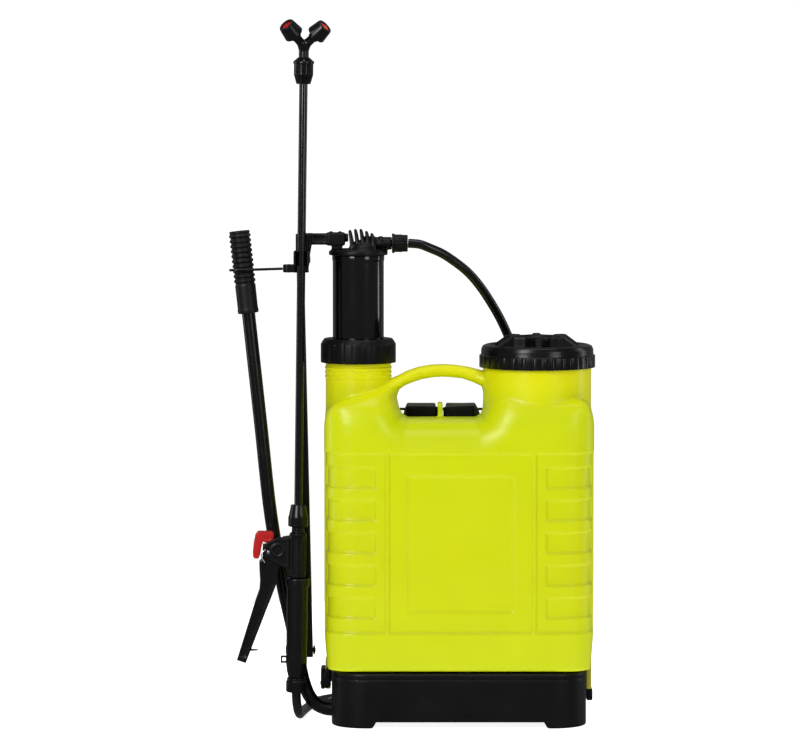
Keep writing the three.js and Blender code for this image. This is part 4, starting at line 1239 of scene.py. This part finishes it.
def pad_section(width, thickness, count=56):
    """A cushion's section: crowned both ways, pinched at its welted edges."""
    a = np.arange(count) * 2 * math.pi / count
    u = np.sign(np.cos(a)) * np.abs(np.cos(a)) ** 0.72
    crown = 1 - 0.16 * np.exp(-((np.abs(u) - 0.42) / 0.05) ** 2)
    v = np.sign(np.sin(a)) * np.abs(np.sin(a)) ** 0.8 * crown
    return np.stack([u * width / 2, v * thickness / 2], axis=1)


def buckle_field(x, y, z):
    """A ladder buckle: a plate with two slots and a round lip."""
    plate = block(x, y, z, (-17, -2, -12), (17, 2, 12), 1.6)
    for low, high in (((-13.2, -9, 4.2), (13.2, 9, 8.4)), ((-13.2, -9, -8.4), (13.2, 9, -2.4))):
        plate = less(plate, block(x, y, z, low, high, 0.8), 0.8)
    return either(plate, rod(x, y, z, (-14, 2.6, 11), (14, 2.6, 11), 1.8), 1)


for side, top, web, pad, tail, (bx, by, bz), lean in HARNESS:
    wrap = [(top, BAR_Y + WRAP_RADIUS * math.cos(a), LOOP_Z + WRAP_RADIUS * math.sin(a))
            for a in np.radians(np.arange(330, 89, -20))]
    web_path, _ = smooth_path(wrap + web, 90)
    strap = swept(f"shoulder_strap_{side}", web_path, flat_section(34, 2.8), across=(1, 0, 0))
    finished(strap, "tank_unit", WEBBING, "webbing", f"strap_{side}")

    pad_path, _ = smooth_path(pad, 160)
    cushion = swept(f"shoulder_pad_{side}_sewn", pad_path, pad_section(56, 15), across=(1, 0, 0),
                    shape=pad_shape)
    finished(cushion, "tank_unit", PAD_CLOTH, "foam", f"shoulder_pad_{side}")

    pad_web = swept(f"pad_webbing_{side}", pad_path[6:-2] + [0, 8.2, 0], flat_section(25, 2),
                    across=(1, 0, 0))
    finished(pad_web, "tank_unit", WEBBING, "webbing")

    tail_path, _ = smooth_path(tail, 120)
    tail_strap = swept(f"lower_strap_{side}_webbing", tail_path, flat_section(25, 2.2), across=(1, 0, 0))
    finished(tail_strap, "tank_unit", WEBBING, "webbing", f"lower_strap_{side}")

    buckle = surface_net(
        f"buckle_{side}", buckle_field, (-19, -5, -14), (19, 6, 15), 0.8,
        lambda p, lean=lean, at=(bx, by + 4.4, bz): turn(p, "Y", -lean) + at, crease=1.1)
    finished(buckle, "tank_unit", BLACK, "black_plastic", f"strap_buckle_{side}")


# ---- closing lines
# The CAD pieces that nothing replaces take the look of their own slot.
CAD_LOOKS = {
    "tank_plastic": YELLOW, "black_plastic": BLACK, "black_tube": GLOSS, "hose_plastic": HOSE,
    "rubber": RUBBER, "white_plastic": WHITE, "steel": STEEL, "red_plastic": RED, "orange_plastic": ORANGE,
    "webbing": WEBBING, "foam": PAD_CLOTH,
}
for part in frame["record"]["subparts"]:
    node = frame["nodes"][part["node"]]
    look = CAD_LOOKS[part["material_slot"]]
    for socket in node.material_slots:
        socket.material = look
    if not node.material_slots:
        node.data.materials.append(look)
